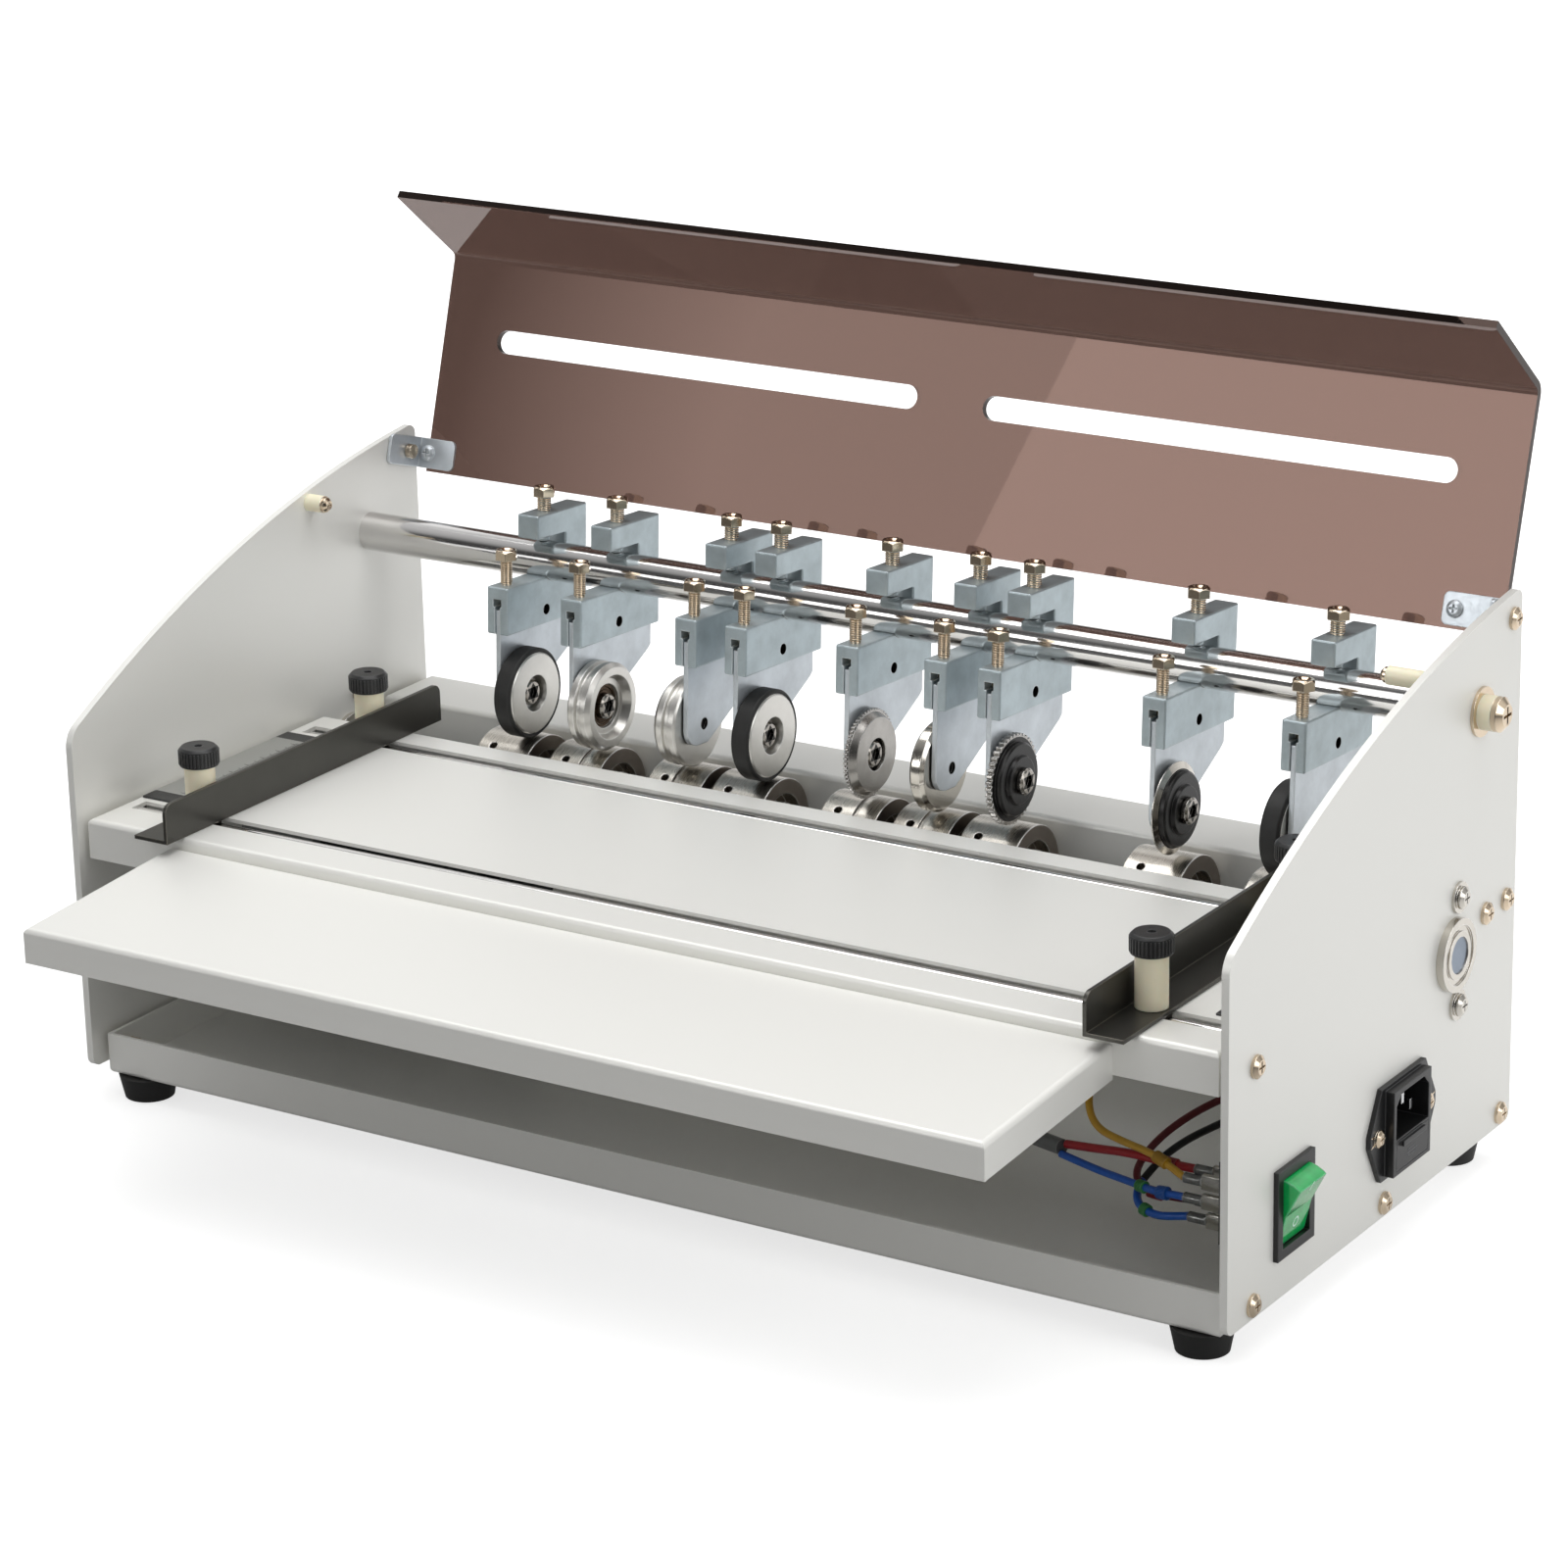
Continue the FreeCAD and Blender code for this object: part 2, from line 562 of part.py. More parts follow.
def front_table():
    """The leaf in front of the feed table, which slopes down towards the operator."""
    leaf = body("front_table")
    sketch = sketch_on(leaf, "YZ_Plane", "leaf_side", "-leaf_half")
    front, back = deep("-leaf_reach"), deep("table_inset")
    low = high("leaf_front_rise - leaf_skirt")
    outline(sketch, [(front, low), (back, high("leaf_back_rise - leaf_skirt")), (back, high("leaf_back_rise")),
                     (front, high("leaf_front_rise"))])
    blank = pad(leaf, sketch, "leaf_blank", "2 * leaf_half")
    slope = value("(leaf_back_rise - leaf_front_rise) / (leaf_reach + table_inset)")

    def on_underside(point):
        return abs(point.z - value(low) - (point.y - value(front)) * slope) < 0.05

    folds = soften(leaf, blank, "leaf_folds", "fold_radius", lambda point: not on_underside(point))
    hollow(leaf, folds, "leaf_shell", on_underside)
    node(leaf, "front_table")


def rear_tray():
    """The short tray behind the rollers that paper leaves over."""
    front, back = deep("shaft_depth + roller_radius + tray_gap"), deep("plate_depth")
    tray, top = folded_box("rear_tray", (("-" + FOLD_HALF, front), (FOLD_HALF, back)),
                           high("tray_rise - tray_skirt"), "tray_skirt", "fold_radius", True)
    side_holes(tray, "tray", [(depth, "tray_rise - skirt_screw_drop")
                              for depth in ("tray_screw_front", "tray_screw_back")])
    node(tray, "rear_tray")


def rubber_feet():
    """Four tapered feet under the pan."""
    feet = []
    for number, (side, depth) in enumerate((side, depth) for side in ("-foot_side", "foot_side")
                                           for depth in ("foot_inset", "plate_depth - foot_inset")):
        feet.append(cone("foot_%d" % number, "foot_bottom", "foot_top", "foot_height", "z", side, deep(depth)))
    node(group("feet", *feet), "rubber_feet")


def frame_screws():
    """Pan head screws through both plates, each with a collar between the plate and the folded part."""
    parts = []
    for side, sign in (("left", "-"), ("right", "")):
        for number, (depth, rise) in enumerate(panel_screw_places()):
            name = "%s_screw_%d" % (side, number)
            screw = pan_screw(name, "screw_radius", "plate_thick + side_gap + sheet + screw_reach",
                              "screw_head_radius", "screw_head")
            turn = ALONG["x"] if side == "right" else ALONG["-x"]
            place(screw, "%s(inner_width / 2 + plate_thick)" % sign, deep(depth), high(rise), turn)
            collar = cut(name + "_collar", rod(name + "_ring", "screw_radius * 1.9", "side_gap"),
                         rod(name + "_bore", "screw_radius", "side_gap"))
            place(collar, "%s(inner_width / 2 - side_gap)" % sign, deep(depth), high(rise), turn)
            parts += [screw, collar]
        hinge = pan_screw(side + "_hinge_screw", "screw_radius",
                          "plate_thick + bracket_gap + bracket_thick + bracket_gap + screw_nut",
                          "screw_head_radius", "screw_head")
        turn = ALONG["x"] if side == "right" else ALONG["-x"]
        place(hinge, "%s(inner_width / 2 + plate_thick)" % sign, deep("hinge_depth"), high("hinge_rise"), turn)
        nut = cut(side + "_hinge_nut", rod(side + "_nut_blank", "screw_nut_radius", "screw_nut"),
                  rod(side + "_nut_bore", "screw_radius", "screw_nut"))
        place(nut, "%s(inner_width / 2 - 2 * bracket_gap - bracket_thick - screw_nut)" % sign,
              deep("hinge_depth"), high("hinge_rise"), turn)
        parts += [hinge, nut]
    node(group("screws", *parts), "frame_screws")


def cross_bar():
    """The chromed bar between the plates, with a threaded hole in each end."""
    bar = rod("bar_blank", "bar_radius", "inner_width", "x", "-" + HALF, deep("bar_depth"), high("bar_rise"))
    threads = [rod("bar_thread_left", "end_shank", "end_thread", "x", "-" + HALF, deep("bar_depth"),
                   high("bar_rise")),
               rod("bar_thread_right", "end_shank", "end_thread", "x", HALF + " - end_thread",
                   deep("bar_depth"), high("bar_rise"))]
    node(cut("bar", bar, *threads), "cross_bar")


def bar_end_fittings():
    """Washer, spacer and screw outside each plate, which hold the bar."""
    parts = []
    for side, sign in (("left", "-"), ("right", "")):
        turn = ALONG["x"] if side == "right" else ALONG["-x"]
        washer = cut(side + "_end_washer", rod(side + "_washer_disc", "end_washer_radius", "end_washer"),
                     rod(side + "_washer_hole", "end_shank", "end_washer"))
        spacer = cut(side + "_end_spacer", rod(side + "_spacer_tube", "end_spacer_radius", "end_spacer"),
                     rod(side + "_spacer_hole", "end_shank", "end_spacer"))
        screw = pan_screw(side + "_end_screw", "end_shank",
                          "end_spacer + end_washer + plate_thick + end_thread - 1", "end_head_radius", "end_head")
        starts = ("inner_width / 2 + plate_thick", "inner_width / 2 + plate_thick + end_washer",
                  "inner_width / 2 + plate_thick + end_washer + end_spacer")
        for item, start in zip((washer, spacer, screw), starts):
            place(item, "%s(%s)" % (sign, start), deep("bar_depth"), high("bar_rise"), turn)
            parts.append(item)
    node(group("end_fittings", *parts), "bar_end_fittings")


def cover_rest_pegs():
    """A spacer and screw inside each plate, which the closed cover lies on."""
    parts = []
    for side, sign, length in (("left", "-", "peg_length"), ("right", "", "(peg_length + peg_longer)")):
        turn = ALONG["-x"] if side == "right" else ALONG["x"]
        sleeve = cut(side + "_peg_sleeve", rod(side + "_peg_tube", "peg_radius", length),
                     rod(side + "_peg_hole", "screw_radius", length))
        screw = pan_screw(side + "_peg_screw", "screw_radius", length + " + peg_seat", "peg_head_radius",
                          "peg_head")
        place(sleeve, "%s(inner_width / 2)" % sign, deep("peg_depth"), high("peg_rise"), turn)
        place(screw, "%s(inner_width / 2 - %s)" % (sign, length), deep("peg_depth"), high("peg_rise"), turn)
        parts += [sleeve, screw]
    node(group("pegs", *parts), "cover_rest_pegs")


def shaft_bearings():
    """A ball bearing in each plate, with two screws and washers that overlap its edge."""
    parts = []
    for side, sign in (("left", "-"), ("right", "")):
        turn = ALONG["x"] if side == "right" else ALONG["-x"]
        name = side + "_bearing"
        face = "inner_width / 2 + plate_thick + bearing_proud"
        ring = rod(name + "_ring", "bearing_radius", "bearing_width")
        bore = rod(name + "_bore", "shaft_radius + running_fit", "bearing_width")
        groove = cut(name + "_groove", rod(name + "_groove_outer", "bearing_radius - 2.6", "0.8"),
                     rod(name + "_groove_inner", "shaft_radius + 2.2", "0.8"))
        place(groove, z="bearing_width - 0.8")
        bearing = cut(name, ring, bore, groove)
        place(bearing, "%s(%s - bearing_width)" % (sign, face), deep("shaft_depth"), high("shaft_rise"), turn)
        parts.append(bearing)
        for end, way in (("top", "+"), ("low", "-")):
            rise = high("shaft_rise %s keeper_offset" % way)
            keeper = name + "_keeper_" + end
            washer = cut(keeper, rod(keeper + "_disc", "keeper_radius", "keeper"),
                         rod(keeper + "_hole", "screw_radius", "keeper"),
                         place(rod(keeper + "_relief", "bearing_radius", "keeper"),
                               **keeper_relief(sign, way)))
            back = deep("shaft_depth + keeper_back")
            place(washer, "%s(inner_width / 2 + plate_thick)" % sign, back, rise, turn)
            screw = pan_screw(keeper + "_screw", "screw_radius", "plate_thick + keeper + 3", "screw_head_radius",
                              "screw_head")
            place(screw, "%s(inner_width / 2 + plate_thick + keeper)" % sign, back, rise, turn)
            parts += [washer, screw]
    node(group("bearings", *parts), "shaft_bearings")


def keeper_relief(sign, way):
    """Where the bearing lies in the frame of a retaining washer."""
    towards = "-" if (sign == "") == (way == "-") else ""
    return {"x": "%skeeper_offset" % towards, "y": "-keeper_back"}


def guide_rails():
    """Two chromed rods in the table's slots, each between blocks under the ends of its slot."""
    parts = []
    reach = "(slot_reach - slide_gap)"
    block = "%s - fold_radius - %s" % (FOLD_HALF, reach)
    for depth in ("slot_front", "slot_back"):
        parts.append(rod("rail_" + depth, "rail_radius", "2 * " + reach, "x", "-" + reach, deep(depth),
                         high("table_rise - rail_drop")))
        for side, low in (("left", "fold_radius - " + FOLD_HALF), ("right", reach)):
            parts.append(box("rail_%s_%s" % (depth, side), block, "slot_width", "rail_drop + rail_radius",
                             low, deep(depth + " - slot_width / 2"),
                             high("table_rise - sheet - rail_drop - rail_radius")))
    node(group("rails", *parts), "guide_rails")


def ruler_plates():
    """A scale plate beside each end of the slots, with a dark stop at both of its ends."""
    parts = []
    for side, sign in (("left", "-"), ("right", "")):
        low = "%sruler_side - ruler_width / 2" % sign
        parts.append(box(side + "_ruler", "ruler_width", "ruler_length", "ruler_thick", low, deep("ruler_front"),
                         high("table_rise")))
        for end, depth in (("front", "ruler_front - ruler_end"), ("back", "ruler_front + ruler_length")):
            parts.append(box("%s_ruler_%s" % (side, end), "ruler_width", "ruler_end", "ruler_thick", low,
                             deep(depth), high("table_rise")))
    node(group("rulers", *parts), "ruler_plates")


def station_names():
    """The sheet's names for the stations' places, from left to right."""
    return ["station_" + word for word in
            ("one", "two", "three", "four", "five", "six", "seven", "eight", "nine")]


WHEEL_KINDS = ["tyre", "creaser", "creaser", "tyre", "perforator", "plain", "coarse", "cutter", "tyre"]
WHEEL_SIDES = [1, 1, -1, 1, 1, -1, 1, 1, -1]


def lower_shaft():
    """The driven shaft, from the gear outside the left plate to the right bearing."""
    left = "inner_width / 2 + plate_thick + gear_gap + gear_width"
    length = left + " + inner_width / 2 + plate_thick + bearing_proud - 0.5"
    node(rod("shaft", "shaft_radius", length, "x", "-(%s)" % left, deep("shaft_depth"), high("shaft_rise")),
         "lower_shaft")


def anvil_rollers():
    """One roller under each wheel, cupped at both ends and held by a grub screw hole."""
    parts = []
    for station, kind, side in zip(station_names(), WHEEL_KINDS, WHEEL_SIDES):
        name = station.replace("station", "roller")
        shift = "roller_shift" if side > 0 else "-roller_shift_back"
        start = "%s + %s - roller_length / 2" % (station, shift)
        tools = [rod(name + "_bore", "shaft_radius", "roller_length"),
                 ring(name + "_cup_left", "roller_cup", "shaft_radius + 2.6", "roller_cup_depth"),
                 place(ring(name + "_cup_right", "roller_cup", "shaft_radius + 2.6", "roller_cup_depth"),
                       z="roller_length - roller_cup_depth"),
                 rod(name + "_grub", "1.7", "roller_radius", "x", "0", "0", "roller_length * 0.28")]
        if kind in ("creaser", "perforator", "plain"):
            offset = "roller_length / 2 + %s" % ("1.6" if side > 0 else "-1.6")
            tools.append(place(ring(name + "_groove", "roller_radius + 1", "roller_radius - 0.9", "1.6"), z=offset))
        roller = cut(name, rod(name + "_blank", "roller_radius", "roller_length"), *tools)
        place(roller, start, deep("shaft_depth"), high("shaft_rise"), ROLLER_TURN)
        parts.append(roller)
    node(group("rollers", *parts), "anvil_rollers")


ROLLER_TURN = Rotation(Vector(0, 0, 1), Vector(1, 0, 0)) * Rotation(Vector(0, 0, 1), 215)


def ring(name, outer, inner, length):
    """A tube along Z from the origin."""
    return cut(name, rod(name + "_outer", outer, length), rod(name + "_inner", inner, length))


def gear_outline(teeth, module, first_tooth):
    """Corners of a gear with straight-flanked teeth, one tooth centred on an angle in degrees."""
    pitch_radius = teeth * module / 2
    root, tip = pitch_radius - 1.2 * module, pitch_radius + 0.85 * module
    step = 2 * math.pi / teeth
    corners = []
    for number in range(teeth):
        middle = math.radians(first_tooth) + number * step
        for radius, share in ((root, -0.31), (tip, -0.11), (tip, 0.11), (root, 0.31)):
            angle = middle + share * step
            corners.append(Vector(0, radius * math.cos(angle), radius * math.sin(angle)))
    return corners


def toothed_disc(name, corners, thickness, bore, start=0):
    """A disc that runs along +X from its start, with a round bore."""
    corners = [corner + Vector(start, 0, 0) for corner in corners]
    face = Part.Face(Part.makePolygon(corners + corners[:1]))
    blank = face.extrude(Vector(thickness, 0, 0))
    hole = Part.makeCylinder(bore, thickness, Vector(start, 0, 0), Vector(1, 0, 0))
    item = doc.addObject("Part::Feature", name)
    item.Shape = blank.cut(hole)
    return item


def mesh_angle():
    """Direction from the shaft to the motor's axis, in degrees from +Y towards +Z."""
    return math.degrees(math.atan2(-value("drive_down"), -value("drive_back")))


GEAR_X = "-(inner_width / 2 + plate_thick + gear_gap + gear_width)"


def driven_gear():
    """The gear on the shaft's left end, with a tooth on the line to the pinion."""
    corners = gear_outline(SIZES["gear_teeth"], SIZES["gear_module"], mesh_angle())
    gear = toothed_disc("gear", corners, value("gear_width"), value("shaft_radius"))
    place(gear, GEAR_X, deep("shaft_depth"), high("shaft_rise"))
    node(gear, "driven_gear")


def motor_pinion():
    """The pinion with the motor's output shaft, with a gap on the line to the gear."""
    half_pitch = 180 / SIZES["pinion_teeth"]
    corners = gear_outline(SIZES["pinion_teeth"], SIZES["gear_module"], mesh_angle() + 180 + half_pitch)
    wheel = toothed_disc("pinion_wheel", corners, value("gear_width"), value("motor_shaft_radius"))
    depth, rise = deep("shaft_depth - drive_back"), high("shaft_rise - drive_down")
    place(wheel, GEAR_X, depth, rise)
    axle = rod("pinion_shaft", "motor_shaft_radius", "gear_width + gear_gap + plate_thick + gearbox_width / 2",
               "x", GEAR_X, depth, rise)
    node(group("pinion", wheel, axle), "motor_pinion")


def gearmotor():
    """Gearbox bolted to the left plate, with the motor on its far side."""
    case = box("gearbox_case", "gearbox_width", "gearbox_depth", "gearbox_height", "-" + HALF,
               deep("shaft_depth - drive_back - gearbox_front"), high("shaft_rise - drive_down - gearbox_low"))
    bore = rod("gearbox_bore", "motor_shaft_radius + running_fit", "gearbox_width / 2 + 1", "x",
               "-" + HALF, deep("shaft_depth - drive_back"), high("shaft_rise - drive_down"))
    middle = (deep("shaft_depth - drive_back - gearbox_front + gearbox_depth / 2"),
              high("shaft_rise - drive_down - gearbox_low + gearbox_height / 2"))
    motor = rod("motor_can", "motor_radius", "motor_length", "x", "-(inner_width / 2) + gearbox_width", *middle)
    cap = rod("motor_cap", "motor_radius * 0.7", "6", "x", "-(inner_width / 2) + gearbox_width + motor_length",
              *middle)
    node(group("motor", cut("gearbox", case, bore), motor, cap), "gearmotor")


def drive_cover():
    """The hollow cover over the gears, outside the left plate."""
    cover = body("drive_cover")
    outer_x = "-(inner_width / 2 + plate_thick + drive_cover_depth)"
    sketch = sketch_on(cover, "YZ_Plane", "drive_cover_outline", outer_x)
    outline(sketch, [(deep("drive_cover_front"), high("drive_cover_low")),
                     (deep("drive_cover_back"), high("drive_cover_low")),
                     (deep("drive_cover_back"), high("drive_cover_top")),
                     (deep("drive_cover_step"), high("drive_cover_top")),
                     (deep("drive_cover_front"), high("drive_cover_nose"))])
    blank = pad(cover, sketch, "drive_cover_blank", "drive_cover_depth")
    open_side = "-(inner_width / 2 + plate_thick)"
    folds = soften(cover, blank, "drive_cover_folds", "fold_radius", lambda point: not near(point.x, open_side))
    hollow(cover, folds, "drive_cover_shell", lambda point: near(point.x, open_side))
    node(cover, "drive_cover")


def leaning(item, x="0"):
    """Place a body whose own origin is on the hinge, leaning back with the open cover."""
    item.Placement.Rotation = Rotation(Vector(1, 0, 0), -SIZES["cover_lean"])
    for letter, text in zip("xyz", (x, deep("hinge_depth"), high("hinge_rise"))):
        item.setExpression("Placement.Base." + letter, bound(text))
    return item


def cover_panel():
    """The smoked panel with its bent lip and two long slots; local Z runs up the panel."""
    panel = body("cover_panel")
    sketch = sketch_on(panel, "YZ_Plane", "cover_side", "-cover_half")
    along, across = "cos((90 + cover_bend) * 1deg)", "sin((90 + cover_bend) * 1deg)"
    face, back = "cover_offset", "cover_offset + cover_thick"
    miter = "cover_thick * tan(cover_bend / 2 * 1deg)"
    outline(sketch, [(face, "-cover_below"), (back, "-cover_below"), (back, "cover_reach + " + miter),
                     ("%s + cover_lip * %s + cover_thick * %s" % (face, along, across),
                      "cover_reach + cover_lip * %s - cover_thick * %s" % (across, along)),
                     ("%s + cover_lip * %s" % (face, along), "cover_reach + cover_lip * %s" % across),
                     (face, "cover_reach")])
    blank = pad(panel, sketch, "cover_blank", "2 * cover_half")
    inner = soften(panel, blank, "cover_bend_inside", "cover_thick",
                   lambda point: near(point.y, face) and near(point.z, "cover_reach"))
    soften(panel, inner, "cover_bend_outside", "2 * cover_thick",
           lambda point: near(point.y, back) and near(point.z, "cover_reach + " + miter))
    slots = sketch_on(panel, "XZ_Plane", "cover_slots")
    low, top = "vent_reach - vent_height / 2", "vent_reach + vent_height / 2"
    end = "vent_height / 2.02"
    for start, stop in (("-vent_outer", "-vent_inner"), ("vent_inner", "vent_outer")):
        outline(slots, [(start + " + " + end, low), (stop + " - " + end, low), (stop + " - " + end, top),
                        (start + " + " + end, top)], {1: "vent_height / 2", 3: "vent_height / 2"})
    pocket(panel, slots, "cover_slots_cut")
    node(leaning(panel), "cover_panel")


def cover_brackets():
    """An angle at each side: one leg turns on the hinge screw, the other is screwed to the panel."""
    parts = []
    for side, sign in (("left", "-"), ("right", "")):
        name = side + "_bracket"
        angle = body(name + "_angle")
        plan = sketch_on(angle, "XY_Plane", name + "_plan", "-bracket_half")
        outer, inner = "inner_width / 2 - bracket_gap", "inner_width / 2 - bracket_gap - bracket_thick"
        wing = "inner_width / 2 - bracket_gap - %s_wing" % side
        seat = "%s(inner_width / 2 - bracket_gap - %s_wing_screw)" % (sign, side)
        rear, web = "cover_offset", "cover_offset - bracket_thick"
        corners = [(outer, "-bracket_front"), (outer, rear), (wing, rear), (wing, web), (inner, web),
                   (inner, "-bracket_front")]
        outline(plan, [("%s(%s)" % (sign, across), up) for across, up in corners])
        blank = pad(angle, plan, name + "_blank", "2 * bracket_half")
        soften(angle, blank, name + "_corners", "bracket_round",
               lambda point: near(abs(point.z), "bracket_half")
               and (near(abs(point.x), wing) or near(point.y, "-bracket_front")))
        pivot = sketch_on(angle, "YZ_Plane", name + "_pivot")
        circle(pivot, "0", "0", "screw_radius + running_fit")
        pocket(angle, pivot, name + "_pivot_cut")
        leaning(angle)
        screw = pan_screw(name + "_screw", "screw_radius", "bracket_thick", "screw_head_radius * 0.75",
                          "screw_head * 0.7")
        screw.Placement.Rotation = Rotation(Vector(1, 0, 0), 90)
        place(screw, seat, "cover_offset - bracket_thick")
        hole = sketch_on(angle, "XZ_Plane", name + "_screw_hole")
        circle(hole, seat, "0", "screw_radius")
        pocket(angle, hole, name + "_screw_hole_cut")
        parts += [angle, leaning(group(name + "_screw_seat", screw))]
    node(group("brackets", *parts), "cover_brackets")


def side_guide(side, sign):
    """An angle that paper runs along, with a clamp block round each rail."""
    name = side + "_guide"
    angle = body(name + "_angle")
    profile = sketch_on(angle, "XZ_Plane", name + "_profile", "-(%s)" % deep("guide_front"))
    face, wall = "guide_face", "guide_face + guide_wall"
    bottom = high("table_rise + slide_gap")
    corners = [(face, bottom), ("guide_face + guide_flange", bottom), ("guide_face + guide_flange",
               bottom + " + guide_wall"), (wall, bottom + " + guide_wall"), (wall, bottom + " + guide_rise"),
               (face, bottom + " + guide_rise")]
    outline(profile, [("%s(%s)" % (sign, across), up) for across, up in corners])
    blank = pad(angle, profile, name + "_blank", "guide_length")
    blank.Reversed = True
    front, back = deep("guide_front"), deep("guide_front + guide_length")
    soften(angle, blank, name + "_corners", "corner_radius",
           lambda point: near(point.z, bottom + " + guide_rise")
           and (near(point.y, front) or near(point.y, back)))
    holes = sketch_on(angle, "XY_Plane", name + "_knob_holes", bottom)
    for depth in ("slot_front", "slot_back"):
        circle(holes, "%s(guide_face + knob_side)" % sign, deep(depth), "stud_radius + screw_clear")
    pocket(angle, holes, name + "_knob_holes_cut")
    parts = [angle]
    for depth in ("slot_front", "slot_back"):
        block = name + "_clamp_" + depth
        middle = "%s(guide_face + knob_side)" % sign
        low = high("table_rise + slide_gap - clamp_height")
        rail = "table_rise - rail_drop"
        parts.append(cut(block, box(block + "_blank", "clamp_width", "clamp_depth", "clamp_height",
                                    middle + " - clamp_width / 2", deep(depth + " - clamp_depth / 2"), low),
                         rod(block + "_rail", "rail_radius + running_fit", "clamp_width", "x",
                             middle + " - clamp_width / 2", deep(depth), high(rail)),
                         rod(block + "_thread", "stud_radius + running_fit", "clamp_height", "z", middle,
                             deep(depth), high(rail))))
    node(group(name + "_parts", *parts), name)


def guide_knobs():
    """A cream post with a black cap and a stud on each guide, over each rail."""
    for side, sign in (("left", "-"), ("right", "")):
        for end in ("front", "back"):
            name = "%s_%s_knob" % (side, end)
            seat = high("table_rise + 2 * slide_gap + guide_wall")
            middle, depth = "%s(guide_face + knob_side)" % sign, deep("slot_" + end)
            tip = high("table_rise + slide_gap")
            stud = rod(name + "_stud", "stud_radius", "%s - (%s)" % (seat, tip), "z", middle, depth, tip)
            post = rod(name + "_post", "post_radius", "post_height", "z", middle, depth, seat)
            cap = rod(name + "_cap", "cap_radius", "cap_height - 1", "z", middle, depth, seat + " + post_height")
            rim = cone(name + "_rim", "cap_radius", "cap_radius - 1", "1", "z", middle, depth,
                       seat + " + post_height + cap_height - 1")
            dimple = rod(name + "_dimple", "1.6", "1", "z", middle, depth,
                         seat + " + post_height + cap_height - 1")
            head = cut(name + "_head", fuse(name + "_cap_rim", cap, rim), dimple)
            node(group(name, fuse(name + "_shank", stud, post), head), name)


def hang(item, x):
    """Place what is built about the bar's axis on the bar, leaning towards the operator."""
    place(item, x, deep("bar_depth"), high("bar_rise"), Rotation(Vector(-1, 0, 0), SIZES["holder_tilt"]))
    item.setExpression("Placement.Rotation.Angle", bound("holder_tilt"))
    return item


def holder(station, x):
    """The block clamped to the bar, with its clamping bolt, adjusting bolt and pivot pin."""
    name = station.replace("station", "holder")
    block = body(name + "_block")
    side = sketch_on(block, "YZ_Plane", name + "_side")
    closed_end = "bar_radius + running_fit"
    outline(side, [("-lug_front", "-lug_bottom"), ("block_back", "-lug_bottom"), ("block_back", "block_top"),
                   ("-horn_front", "block_top"), ("-horn_front", "horn_bottom"), (closed_end, "horn_bottom"),
                   (closed_end, "-lug_top"), ("-lug_front", "-lug_top")])
    blank = pad(block, side, name + "_blank", "block_thick", True)
    soften(block, blank, name + "_edges", "block_round", lambda point: True)
    seat = sketch_on(block, "YZ_Plane", name + "_seat")
    circle(seat, "0", "0", "bar_radius + running_fit")
    pocket(block, seat, name + "_seat_cut")
    slot = sketch_on(block, "XZ_Plane", name + "_slot")
    rectangle(slot, "0", "-(lug_bottom + arm_slot_top) / 2", "arm_slot / 2", "(lug_bottom - arm_slot_top) / 2")
    pocket(block, slot, name + "_slot_cut")
    notch = sketch_on(block, "XZ_Plane", name + "_notch", "lug_front")
    rectangle(notch, "0", "-(arm_slot_top + notch_top) / 2", "notch / 2", "(arm_slot_top - notch_top) / 2 + 0.2")
    pocket(block, notch, name + "_notch_cut", "notch_depth")
    pivot = sketch_on(block, "YZ_Plane", name + "_pivot")
    circle(pivot, "-pivot_back", "-pivot_down", "pivot_radius")
    pocket(block, pivot, name + "_pivot_cut")
    threads = sketch_on(block, "XY_Plane", name + "_threads", "-lug_top")
    circle(threads, "0", "-adjust_front", "adjust_radius")
    pocket(block, threads, name + "_adjust_cut", "adjust_tip - lug_top + 0.2")
    clamp_hole = sketch_on(block, "XY_Plane", name + "_clamp_hole", "block_top")
    circle(clamp_hole, "0", "0", "bolt_radius")
    pocket(block, clamp_hole, name + "_clamp_cut", "block_top - horn_bottom")
    clamp = hex_bolt(name + "_clamp", "bolt_radius", "block_top - bar_radius - clamp_tip_gap", "clamp_stand")
    adjust = hex_bolt(name + "_adjust", "adjust_radius", "adjust_tip - lug_top", "adjust_stand")
    pin = rod(name + "_pin", "pivot_radius", "block_thick - 2 * pivot_sunk", "x",
              "pivot_sunk - block_thick / 2", "-pivot_back", "-pivot_down")
    place(clamp, z="block_top")
    place(adjust, y="-adjust_front", z="-lug_top")
    whole = group(name, block, clamp, adjust, pin)
    node(hang(whole, x), name)


LEAN = "(holder_tilt * 1deg)"
SHAFT_DEPTH = "((shaft_depth - bar_depth) * cos%s - (shaft_rise - bar_rise) * sin%s)" % (LEAN, LEAN)
SHAFT_RISE = "((shaft_depth - bar_depth) * sin%s + (shaft_rise - bar_rise) * cos%s)" % (LEAN, LEAN)
NIP = "(roller_radius + arm_nip + wheel_radius)"
WHEEL_DEPTH = "-arm_reach"
WHEEL_RISE = "(%s + sqrt(%s ^ 2 - (arm_reach + %s) ^ 2))" % (SHAFT_RISE, NIP, SHAFT_DEPTH)


